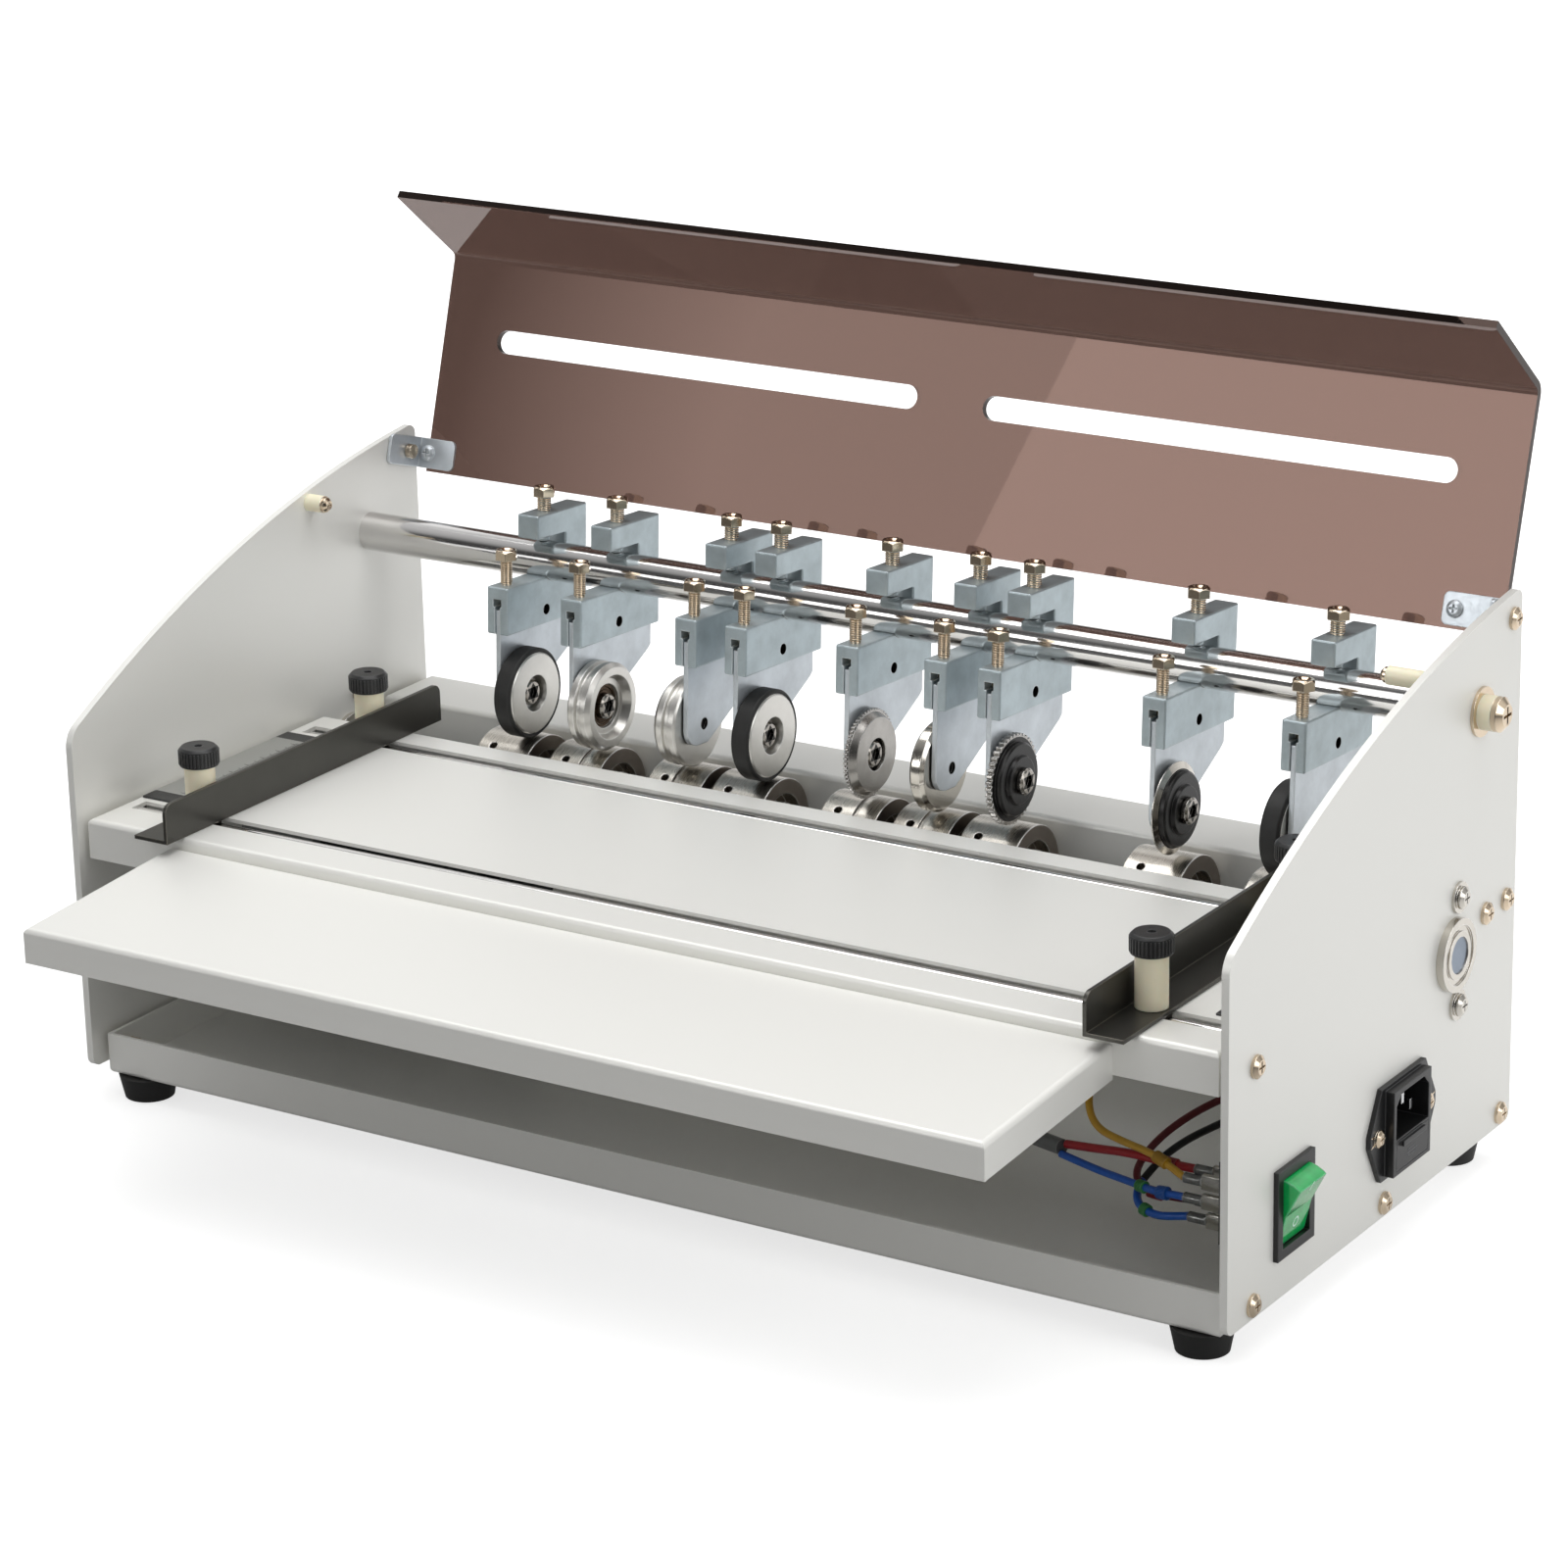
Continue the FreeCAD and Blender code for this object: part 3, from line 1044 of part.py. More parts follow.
def arm(station, x, side, width):
    """The swinging arm in the holder's slot, with the pin that the wheel turns on."""
    name = station.replace("station", "arm")
    plate = body(name + "_plate")
    sketch = sketch_on(plate, "YZ_Plane", name + "_outline")
    foot = "%s - arm_foot" % WHEEL_RISE
    outline(sketch, [("-arm_front", foot), ("%s + arm_foot * 0.35" % WHEEL_DEPTH, foot),
                     ("arm_heel - 2", "-arm_heel_drop - 1.8"), ("arm_heel", "-arm_heel_drop"),
                     ("arm_heel", "-arm_top - 1.6"), ("-arm_front", "-arm_top")])
    blank = pad(plate, sketch, name + "_blank", "arm_thick", True)
    soften(plate, blank, name + "_foot_round", "arm_foot_round",
           lambda point: near(point.z, foot) and near(point.y, "-arm_front"))
    holes = sketch_on(plate, "YZ_Plane", name + "_holes")
    circle(holes, "-pivot_back", "-pivot_down", "pivot_radius + running_fit")
    circle(holes, WHEEL_DEPTH, WHEEL_RISE, "pin_shank")
    pocket(plate, holes, name + "_holes_cut")
    start, seat = "arm_thick / 2", "arm_thick / 2 + wheel_gap / 2"
    stop = "arm_thick / 2 + wheel_gap + (%s) + pin_play" % width
    pin = turned(name + "_pin", [("pin_sunk - arm_thick / 2", "0"), ("%s + pin_head" % stop, "0"),
                                 ("%s + pin_head" % stop, "pin_head_radius - 0.8"),
                                 ("%s + pin_head - 0.8" % stop, "pin_head_radius"), (stop, "pin_head_radius"),
                                 (stop, "pin_radius"), (seat, "pin_radius"), (seat, "pin_radius + 1.6"),
                                 (start, "pin_radius + 1.6"), (start, "pin_shank"),
                                 ("pin_sunk - arm_thick / 2", "pin_shank")])
    key = sketch_on(pin, "YZ_Plane", name + "_key", "%s + pin_head" % stop)
    outline(key, [("pin_key * cos(%d * 1deg)" % angle, "pin_key * sin(%d * 1deg)" % angle)
                  for angle in range(0, 360, 60)])
    pocket(pin, key, name + "_key_cut", "pin_head * 0.7")
    set_on_pin(pin, side)
    whole = group(name, plate, pin)
    node(hang(whole, x), name)


def set_on_pin(item, side):
    """Place what is turned about the wheel's axis, in the frame of the bar, on the arm's left or right."""
    item.Placement.Rotation = Rotation() if side > 0 else Rotation(Vector(0, 0, 1), 180)
    return place(item, y=WHEEL_DEPTH, z=WHEEL_RISE)


INNER_FACE = "arm_thick / 2 + wheel_gap"
BORE = "pin_radius + running_fit"


def along(text):
    """Place along a wheel's axis, from its face next to the arm."""
    return "%s + %s" % (INNER_FACE, text)


def tyre_wheel(name):
    """An aluminium hub with a rubber tyre; the pin's head lies in its recess."""
    hub = turned(name + "_hub", [(along("0"), BORE), (along("tyre_width - hub_recess"), BORE),
                                 (along("tyre_width - hub_recess"), "pin_head_radius + 1.2"),
                                 (along("tyre_width"), "pin_head_radius + 2.3"),
                                 (along("tyre_width"), "tyre_inner - 0.5"),
                                 (along("tyre_width - 0.5"), "tyre_inner"), (along("0"), "tyre_inner")])
    tyre = turned(name + "_tyre", [(along("0.2"), "tyre_inner"), (along("tyre_width - 0.5"), "tyre_inner"),
                                   (along("tyre_width - 0.2"), "tyre_radius - 0.9"),
                                   (along("tyre_width - 1.1"), "tyre_radius"), (along("1.1"), "tyre_radius"),
                                   (along("0.2"), "tyre_radius - 0.9")])
    return [hub, tyre]


def creaser_wheel(name):
    """An aluminium wheel with two creasing ridges, a dished face and a dark bearing at its centre."""
    floor = "creaser_width - creaser_recess"
    rim = turned(name + "_rim", [(along("0"), "creaser_bearing"), (along(floor), "creaser_bearing"),
                                 (along("creaser_width - 3.4"), "creaser_bearing + 0.4"),
                                 (along("creaser_width - 3.4"), "wheel_radius - 6.4"),
                                 (along("creaser_width"), "wheel_radius - 4.7"),
                                 (along("creaser_width"), "wheel_radius - 1.6"),
                                 (along("creaser_width - 1.8"), "wheel_radius"),
                                 (along("creaser_width - 4.2"), "wheel_radius"),
                                 (along("creaser_width - 4.8"), "wheel_radius - 1.4"),
                                 (along("4"), "wheel_radius - 1.4"), (along("3.2"), "wheel_radius"),
                                 (along("0.8"), "wheel_radius"), (along("0"), "wheel_radius - 0.8")])
    bearing = turned(name + "_bearing", [(along("0.4"), BORE), (along(floor), BORE),
                                         (along(floor), "creaser_bearing - 2.4"),
                                         (along(floor + " - 0.6"), "creaser_bearing - 2.1"),
                                         (along(floor + " - 0.6"), "creaser_bearing - 1.2"),
                                         (along(floor), "creaser_bearing - 0.9"), (along(floor), "creaser_bearing"),
                                         (along("0.4"), "creaser_bearing")])
    return [rim, bearing]


def plain_wheel(name):
    """A steel pressing wheel with softened rims."""
    return [turned(name + "_rim", [(along("0"), BORE), (along("plain_width - 1.2"), BORE),
                                   (along("plain_width - 1.2"), "wheel_radius - 5"),
                                   (along("plain_width"), "wheel_radius - 4"),
                                   (along("plain_width"), "wheel_radius - 1.4"),
                                   (along("plain_width - 1.4"), "wheel_radius"),
                                   (along("1.4"), "wheel_radius"), (along("0"), "wheel_radius - 1.4")])]


def hub_washers(name):
    """The black hub that holds a thin disc against its arm side."""
    after = "disc_start + cutter_width"
    return [turned(name + "_hub", [(along("0"), BORE), (along("hub_width"), BORE),
                                   (along("hub_width"), "washer_radius - 5.4"),
                                   (along("hub_width - 1.4"), "washer_radius - 4.8"),
                                   (along("hub_width - 1.4"), "washer_radius - 0.8"),
                                   (along("hub_width - 2.2"), "washer_radius"), (along(after), "washer_radius"),
                                   (along(after), "washer_radius - 4"), (along("disc_start"), "washer_radius - 4"),
                                   (along("disc_start"), "washer_radius"), (along("0"), "washer_radius")])]


def cutter_wheel(name):
    """A bevelled cutting disc on a black hub."""
    disc = turned(name + "_disc", [(along("disc_start"), "washer_radius - 4"),
                                   (along("disc_start + cutter_width"), "washer_radius - 4"),
                                   (along("disc_start + cutter_width"), "wheel_radius - 2.6"),
                                   (along("disc_start + cutter_width * 0.5"), "wheel_radius"),
                                   (along("disc_start + cutter_width * 0.35"), "wheel_radius"),
                                   (along("disc_start"), "wheel_radius - 1.6")])
    return hub_washers(name) + [disc]


def tooth_ring(teeth, radius, height):
    """Corners of a disc with pointed teeth."""
    corners = []
    for number in range(teeth):
        for reach, share in ((radius, 0), (radius, 0.3), (radius - height, 0.65)):
            angle = 2 * math.pi * (number + share) / teeth
            corners.append(Vector(0, reach * math.cos(angle), reach * math.sin(angle)))
    return corners


def perforating_wheel(name):
    """A thin ring of fine teeth on the arm side of a bevelled steel wheel."""
    corners = tooth_ring(TEETH_PERFORATING, value("wheel_radius"), value("tooth_height"))
    teeth = toothed_disc(name + "_teeth", corners, value("disc_width"), value("wheel_radius - 3"),
                         value(along("disc_start")))
    rim = turned(name + "_rim", [(along("0"), BORE), (along("perforator_width - perforator_recess"), BORE),
                                 (along("perforator_width - perforator_recess"), "pin_head_radius + 0.6"),
                                 (along("perforator_width"), "pin_head_radius + 1.3"),
                                 (along("perforator_width"), "wheel_radius - 3.2"),
                                 (along("disc_start + disc_width"), "wheel_radius - 1.3"),
                                 (along("disc_start + disc_width"), "wheel_radius - 3"),
                                 (along("0"), "wheel_radius - 3")])
    return [teeth, rim]


def coarse_wheel(name):
    """A thin toothed disc on a black hub."""
    corners = tooth_ring(TEETH_COARSE, value("wheel_radius"), value("tooth_height * 1.3"))
    disc = toothed_disc(name + "_disc", corners, value("cutter_width"), value("washer_radius - 4"),
                        value(along("disc_start")))
    return hub_washers(name) + [disc]


WHEELS = {"tyre": (tyre_wheel, "tyre_width - hub_recess"),
          "creaser": (creaser_wheel, "creaser_width - creaser_recess"),
          "perforator": (perforating_wheel, "perforator_width - perforator_recess"), "plain": (plain_wheel, "plain_width - 1.2"),
          "coarse": (coarse_wheel, "hub_width"), "cutter": (cutter_wheel, "hub_width")}


def wheel(station, x, side, kind):
    """The wheel of a station, on the left or the right of its arm."""
    name = station.replace("station", "wheel")
    parts = [set_on_pin(part, side) for part in WHEELS[kind][0](name)]
    whole = group(name, *parts)
    node(hang(whole, x), name)


def tool_stations():
    """Nine stations on the bar, each a holder, an arm and a wheel."""
    for station, kind, side in zip(station_names(), WHEEL_KINDS, WHEEL_SIDES):
        holder(station, station)
        arm(station, station, side, WHEELS[kind][1])
        wheel(station, station, side, kind)


def power_inlet():
    """The three-pin inlet: a six-sided flange, a raised housing with a socket, and a space for the drawer."""
    inlet = body("power_inlet_housing")
    face = "inner_width / 2 + plate_thick"
    flange = sketch_on(inlet, "YZ_Plane", "inlet_flange_outline", face)
    middle, rise = deep("inlet_depth"), high("inlet_rise")
    corners = [("inlet_shoulder", "inlet_height_half"), ("inlet_flange_half", "inlet_tip")]
    corners = [(across, "-" + up) for across, up in corners] + [(across, up) for across, up in reversed(corners)]
    corners += [("-" + across, up) for across, up in reversed(corners)]
    outline(flange, [("%s + %s" % (middle, across), "%s + %s" % (rise, up)) for across, up in corners])
    pad(inlet, flange, "inlet_flange", "inlet_flange")
    raised = sketch_on(inlet, "YZ_Plane", "inlet_raised_outline", face)
    rectangle(raised, middle, rise, "inlet_half", "inlet_raised_half")
    pad(inlet, raised, "inlet_raised", "inlet_proud")
    rear = sketch_on(inlet, "YZ_Plane", "inlet_rear_outline", face + " - inlet_body")
    rectangle(rear, middle, rise, "inlet_half - inlet_clear", "inlet_raised_half - inlet_clear")
    pad(inlet, rear, "inlet_rear", "inlet_body")
    socket = sketch_on(inlet, "YZ_Plane", "inlet_socket_outline", face + " + inlet_proud")
    low, top = rise + " + socket_above", rise + " + socket_above + socket_height - 2.2"
    left, right = middle + " - socket_half", middle + " + socket_half"
    outline(socket, [(left, low), (right, low), (right, top + " - 4"), (right + " - 4", top),
                     (left + " + 4", top), (left, top + " - 4")])
    pocket(inlet, socket, "inlet_socket", "socket_deep")
    drawer = sketch_on(inlet, "YZ_Plane", "inlet_drawer_outline", face + " + inlet_proud")
    rectangle(drawer, middle, rise + " - drawer_below - drawer_height / 2", "drawer_half",
              "drawer_height / 2")
    pocket(inlet, drawer, "inlet_drawer_space", "drawer_deep")
    screw_holes = sketch_on(inlet, "YZ_Plane", "inlet_screw_holes", face + " + inlet_flange")
    for sign in "+-":
        circle(screw_holes, middle + " %s inlet_pitch / 2" % sign, rise, screw_hole_inlet())
    pocket(inlet, screw_holes, "inlet_screw_holes_cut", "inlet_flange")
    parts = [inlet]
    for number, (across, up) in enumerate((("-7", "4"), ("7", "4"), ("0", "8.5"))):
        parts.append(box("inlet_blade_%d" % number, "socket_deep - 4", "2", "4", face
                         + " + inlet_proud - socket_deep", middle + " - 1 + " + across, rise + " - 2 + " + up))
    for name, (across, up) in INLET_TABS.items():
        parts.append(box("inlet_tab_" + name, "7", "1", "4", face + " - inlet_body - 7",
                         "%s + (%s) - 0.5" % (middle, across), "%s + (%s) - 2" % (rise, up)))
    for number, sign in enumerate("+-"):
        screw = pan_screw("inlet_screw_%d" % number, screw_hole_inlet(), "inlet_flange + plate_thick + 2", "3.4",
                          "1.6")
        parts.append(place(screw, face + " + inlet_flange", middle + " %s inlet_pitch / 2" % sign, rise,
                           ALONG["x"]))
    node(group("inlet", *parts), "power_inlet")


def fuse_drawer():
    """The fuse drawer that slides out of the inlet, with a finger ledge."""
    drawer = body("fuse_drawer")
    face = "inner_width / 2 + plate_thick"
    play = "0.25"
    rise = high("inlet_rise - drawer_below - drawer_height / 2")
    front = sketch_on(drawer, "YZ_Plane", "drawer_front", face + " + inlet_proud - drawer_deep + 1")
    rectangle(front, deep("inlet_depth"), rise, "drawer_half - " + play, "drawer_height / 2 - " + play)
    pad(drawer, front, "drawer_blank", "drawer_deep - 1")
    ledge = sketch_on(drawer, "YZ_Plane", "drawer_ledge", face + " + inlet_proud")
    rectangle(ledge, deep("inlet_depth"), rise + " + drawer_height / 2 - 1.6", "drawer_half - 4", "1")
    pad(drawer, ledge, "drawer_ledge_pad", "1.2")
    node(drawer, "fuse_drawer")


def power_switch():
    """The switch housing with its bezel, a round seat for the rocker and two pairs of blades."""
    face = "inner_width / 2 + plate_thick"
    middle, rise = deep("switch_depth"), high("switch_rise")
    bezel = box("bezel_plate", "bezel", "2 * bezel_half", "2 * bezel_height_half", face, middle + " - bezel_half",
                rise + " - bezel_height_half")
    rear = box("switch_rear", "switch_body", "2 * switch_body_half", "2 * switch_body_height",
               face + " - switch_body", middle + " - switch_body_half", rise + " - switch_body_height")
    seat = rod("rocker_seat", "rocker_radius + rocker_gap", "2 * (rocker_half + rocker_gap)", "y", face,
               middle + " - rocker_half - rocker_gap", rise)
    parts = [cut("switch_housing", fuse("switch_blank", bezel, rear), seat)]
    for name, (across, up) in SWITCH_TABS.items():
        parts.append(box("switch_tab_" + name, "tab_length", "1", "tab_width",
                         face + " - switch_body - tab_length", "%s + (%s) - 0.5" % (middle, across),
                         "%s + (%s) - tab_width / 2" % (rise, up)))
    node(group("switch", *parts), "power_switch")


def rocker():
    """The rocker: a round-backed button with a shallow V face, its upper half standing out at rest."""
    face = "inner_width / 2 + plate_thick"
    button = body("switch_rocker")
    sketch = sketch_on(button, "XZ_Plane", "rocker_side")
    tilt = "rocker_tilt * 1deg"
    radius = "rocker_radius"
    outline(sketch, [("-rocker_tail", "-sqrt(%s ^ 2 - rocker_tail ^ 2)" % radius),
                     ("%s * sin(%s)" % (radius, tilt), "-%s * cos(%s)" % (radius, tilt)),
                     ("rocker_crown", "0"),
                     ("%s * sin(%s)" % (radius, tilt), "%s * cos(%s)" % (radius, tilt)),
                     ("-rocker_tail", "sqrt(%s ^ 2 - rocker_tail ^ 2)" % radius)],
            {0: radius, 3: radius})
    pad(button, sketch, "rocker_blank", "2 * rocker_half", True)
    button.Placement.Rotation = Rotation(Vector(0, 1, 0), SIZES["rocker_tilt"])
    place(button, face, deep("switch_depth"), high("switch_rise"))
    node(button, "switch_rocker")


# Leads as (radius, points), with depth and rise from the plates' front bottom corner. They end at the tabs
# of the inlet and at the terminals of the switch.

SWITCH_TABS = {"earth": (-4, 3), "red": (4.5, 3), "blue": (-4, -4.5), "maroon": (4.5, -9), "black": (-0.5, -13.2)}
INLET_TABS = {"earth": (0, 12), "maroon": (-5, 5), "black": (5, 5)}
LEADS = {
    "sleeve": (3, [(-129.7, 122.7, 52.7), (-100, 121, 50.5), (-55, 114, 44), (-8, 104, 37.5), (42, 92, 32),
                   (90, 81, 28), (128, 70.5, 26.4), (153, 62, 27.6)]),
    "earth": (1.4, [(221.2, 131.4, 46), (205, 127, 54), (184, 115, 60), (167, 95, 61), (158.5, 77, 55),
                    (161, 66, 45), (168, 60.5, 38.6), (182, 55, 38.4), (197, 49, 39.2), (206, 46, 37.2),
                    (212.6, 43.5, 35.5)]),
    "red": (1.6, [(154.1, 63.2, 28.6), (167, 60.6, 30.6), (182.5, 57, 33.6), (198, 53, 35.2), (206, 52.2, 35.2),
                  (212.8, 52, 35.5)]),
    "blue": (1.4, [(153.2, 60.7, 25.6), (169, 57, 24.4), (185.5, 52.5, 24.8), (200, 46, 26.3), (207, 44.5, 27.4),
                   (212.7, 43.5, 28)]),
    "maroon": (1.4, [(221.3, 126.4, 39), (212, 118, 42.4), (204, 106, 44.8), (194.5, 91, 41), (187.5, 78, 35.5),
                     (184.5, 66, 30), (185.5, 57, 25.6), (192, 52, 23.2), (202, 51.6, 22.6), (212.8, 52, 23.5)]),
    "black": (1.4, [(221.3, 136.4, 39), (212, 129, 38), (205, 114, 35), (198, 98, 33), (191.5, 82, 30.5),
                    (188, 68, 26.5), (186.5, 57.5, 21), (190, 50.5, 17.6), (199, 47, 16.6), (206, 46.8, 17.8),
                    (212.6, 47, 19.3)]),
}


def routed(point, start=-129.7, end=153):
    """A point of a lead, which keeps to the motor on the left, to the right plate on the right."""
    x, depth, rise = point
    share = min(1, max(0, (end - x) / (end - start)))
    wider = value("inner_width / 2") - 250
    deeper, higher = value("shaft_depth") - 174, value("shaft_rise") - 83.6
    return Vector(x + wider * (1 - 2 * share), depth + deeper * share, rise + higher * share)


def lead(name, radius, points):
    """A round wire: straight runs joined by tangent arcs as large as the runs allow."""
    points = [routed(point) for point in points]
    edges, start, radii = [], points[0], []
    for before, corner, after in zip(points, points[1:], points[2:]):
        back, ahead = (before - corner), (after - corner)
        half_turn = (math.pi - back.getAngle(ahead)) / 2
        reach = 0.45 * min(back.Length, ahead.Length)
        radii.append(reach / math.tan(half_turn))
        enter, leave = corner + back.normalize() * reach, corner + ahead.normalize() * reach
        bisector = (back + ahead).normalize()
        middle = corner + bisector * (radii[-1] / math.cos(half_turn) - radii[-1])
        edges.append(Part.LineSegment(start, enter).toShape())
        edges.append(Part.Arc(enter, middle, leave).toShape())
        start = leave
    edges.append(Part.LineSegment(start, points[-1]).toShape())
    path = Part.Wire(edges)
    section = Part.Wire(Part.makeCircle(radius, points[0], points[1] - points[0]))
    item = doc.addObject("Part::Feature", name)
    item.Shape = path.makePipeShell([section], True, True)
    expected = math.pi * radius ** 2 * path.Length
    print("%s: bend radii %s, volume %.3f of %.3f" % (name, ["%.0f" % size for size in radii],
                                                      item.Shape.Volume, expected))
    return place(item, "0", deep("0"), BASE)


def wiring():
    """The leads between motor, inlet and switch, each with a terminal on its tab of the switch."""
    parts = [lead("lead_" + name, radius, points) for name, (radius, points) in LEADS.items()]
    rear = "inner_width / 2 + plate_thick - switch_body"
    for name, (across, up) in SWITCH_TABS.items():
        depth, rise = deep("switch_depth + (%s)" % across), high("switch_rise + (%s)" % up)
        clip = rear + " - tab_length"
        jaw = box(name + "_jaw", "terminal_jaw", "terminal_thick", "terminal_height", clip + " - terminal_jaw",
                  depth + " - terminal_thick / 2", rise + " - terminal_height / 2")
        barrel = rod(name + "_barrel", "terminal_barrel", "terminal_neck", "x",
                     clip + " - terminal_jaw - terminal_neck", depth, rise)
        parts.append(fuse(name + "_terminal", jaw, barrel))
    node(group("leads", *parts), "wiring")


def checked_export():
    """Write each sub-part to its own file once every object is sound."""
    doc.recompute()
    for item in doc.Objects:
        if "Invalid" in item.State or "Error" in item.State:
            raise RuntimeError("%s failed: %s" % (item.Name, item.State))
    os.makedirs("parts", exist_ok=True)
    for item in nodes:
        if item.Shape.isNull() or not item.Shape.isValid():
            raise RuntimeError(item.Label + " has no sound shape")
        item.Shape.exportStep("parts/%s.step" % item.Label)
    print("%d nodes, %d solids" % (len(nodes), sum(len(item.Shape.Solids) for item in nodes)))


sizes = driving_sizes()
left_plate()
right_plate()
base_pan()
feed_table()
front_table()
rear_tray()
rubber_feet()
frame_screws()
cross_bar()
bar_end_fittings()
cover_rest_pegs()
shaft_bearings()
guide_rails()
ruler_plates()
lower_shaft()
anvil_rollers()
driven_gear()
motor_pinion()
gearmotor()
drive_cover()
cover_panel()
cover_brackets()
side_guide("left", "-")
side_guide("right", "")
guide_knobs()
tool_stations()
power_inlet()
fuse_drawer()
power_switch()
rocker()
wiring()
checked_export()
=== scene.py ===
"""Looks of the desktop paper creasing machine: finishes, small parts, leads and a plain studio."""
import math

import bmesh
import bpy
from bpy.props import FloatProperty, FloatVectorProperty, IntProperty, PointerProperty
from mathutils import Matrix, Vector


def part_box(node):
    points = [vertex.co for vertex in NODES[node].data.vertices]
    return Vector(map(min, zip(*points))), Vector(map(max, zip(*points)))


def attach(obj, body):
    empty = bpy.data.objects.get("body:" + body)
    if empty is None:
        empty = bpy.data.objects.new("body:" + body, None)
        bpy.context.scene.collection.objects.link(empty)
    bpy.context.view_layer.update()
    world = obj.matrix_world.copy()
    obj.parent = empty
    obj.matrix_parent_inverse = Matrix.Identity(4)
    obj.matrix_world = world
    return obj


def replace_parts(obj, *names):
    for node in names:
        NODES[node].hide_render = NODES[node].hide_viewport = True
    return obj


bl_info = {
    "name": "Creasing machine",
    "version": (1, 0, 0),
    "blender": (4, 5, 0),
    "location": "3D View > Sidebar > Creasing machine",
    "description": "Finishes, bolt threads, marks, leads and studio of a desktop creasing machine",
    "category": "Object",
}

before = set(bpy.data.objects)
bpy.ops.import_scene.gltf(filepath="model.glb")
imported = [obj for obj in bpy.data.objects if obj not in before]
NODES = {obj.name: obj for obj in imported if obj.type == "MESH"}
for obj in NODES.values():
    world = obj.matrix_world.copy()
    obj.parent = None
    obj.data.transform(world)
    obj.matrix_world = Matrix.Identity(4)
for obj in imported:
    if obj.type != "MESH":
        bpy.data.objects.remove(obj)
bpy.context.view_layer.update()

NAMES = ("one", "two", "three", "four", "five", "six", "seven", "eight", "nine")
STATION_X = dict(zip(NAMES, (-0.162, -0.1263, -0.0716, -0.0483, 0.0027, 0.0422, 0.0659, 0.1364, 0.1942)))
TYRES, CREASERS = ("one", "four", "nine"), ("two", "three")
PLATE_FRONT, PLATE_FOOT = -0.0865, 0.0136
PLATE_FACE = 0.253
BAR = (0.1071, 0.1846)
WHEEL_AXIS = (0.08397, 0.1356)
SHAFT_AXIS = (0.0875, 0.0972)
PIVOT = (0.10035, 0.16598)
HOLDER_LEAN = math.radians(3.5)
ADJUST_BACK, ADJUST_SEAT, ADJUST_STAND = -0.0262, -0.0055, 0.0104
CLAMP_SEAT, CLAMP_STAND = 0.0202, 0.0059
KNOBS = ("left_front_knob", "left_back_knob", "right_front_knob", "right_back_knob")
CAP_FOOT = 0.1385
RULERS = {"left": -1, "right": 1}
RULER_SIDE, RULER_TOP, RULER_Y = 0.2375, 0.1174, (-0.0445, 0.0315)
SWITCH = (-0.039, 0.0461)
SWITCH_TABS = 0.2309
INLET = (0.0449, 0.0476)
INLET_TABS, INLET_SCREW_SIDE, INLET_SCREW_RADIUS = 0.2289, 0.02, 0.00355
BLADE_REACH = (0.2405, 0.2547)
BLADES = ((0, 0.0085, 0.001, 0.002), (-0.007, 0.004, 0.001, 0.002), (0.007, 0.004, 0.001, 0.002))
TYRE_SEAT, BALL_BEARING, HUB_BORE, HUB = 0.0166, 0.0086, 0.0058, 0.0147
PIVOT_PIN, WHEEL_BOLT, WHEEL_PIN, ARM_HALF = 0.00232, 0.0031, 0.00535, 0.00102
ADJUST_SHANK, ADJUST_HEAD = 0.0023, 0.0056
REST_PEG, PEG_SCREW = (PLATE_FRONT + 0.154, PLATE_FOOT + 0.193), 0.00305
SPACER = (PLATE_FACE + 0.00121, PLATE_FACE + 0.00629)
MOTOR_CAN_END = -0.2135
SKIN = 0.00005


def screen(red, green, blue):
    """A colour given as a screen shows it, from 0 to 255, in the shader's linear scale."""
    def linear(part):
        part /= 255
        return part / 12.92 if part <= 0.04045 else ((part + 0.055) / 1.055) ** 2.4
    return linear(red), linear(green), linear(blue), 1.0


def tint(label, told, red, green, blue):
    """A colour that the user can change."""
    return FloatVectorProperty(name=label, description=told, subtype="COLOR", size=4, min=0, max=1,
                               default=screen(red, green, blue))


def length(label, told, size):
    """A length that the user can change, in metres."""
    return FloatProperty(name=label, description=told, default=size, min=0, unit="LENGTH", precision=5)


class MachineColours(bpy.types.PropertyGroup):
    """Colours of the machine's finishes."""
    coat: tint("Powder coat", "Plates, pan, tables and tray", 232, 232, 223)
    zinc: tint("Holder zinc", "Blue zinc of the holder blocks", 188, 201, 206)
    arm_zinc: tint("Arm zinc", "Paler zinc of the arms and cover brackets", 218, 225, 231)
    nickel: tint("Champagne nickel", "Bolts and screws", 222, 203, 178)
    chrome: tint("Chrome", "Cross bar and guide rails", 226, 224, 222)
    roller: tint("Roller steel", "Running faces of the anvil rollers", 212, 207, 198)
    # End faces are darker than the running faces: partly their turned finish, partly painted shade where the rollers
    # face each other.
    roller_end: tint("Roller ends", "End faces of the anvil rollers", 160, 150, 141)
    aluminium: tint("Turned aluminium", "Wheel hubs and creasing wheels", 220, 218, 213)
    tool_steel: tint("Tool steel", "Perforating and cutting discs", 176, 173, 169)
    cream: tint("Cream nylon", "Knob posts, pegs and spacers", 250, 241, 213)
    moulding: tint("Black moulding", "Caps, inlet, switch frame", 28, 28, 29)
    rubber: tint("Rubber", "Tyres and feet", 22, 22, 21)
    guide: tint("Guide paint", "Bronze-black paint of the side guides", 82, 81, 77)
    lens: tint("Rocker green", "Translucent green of the switch rocker", 20, 205, 104)
    smoke: tint("Smoked acrylic", "Tint of the cover seen through both faces", 92, 71, 64)


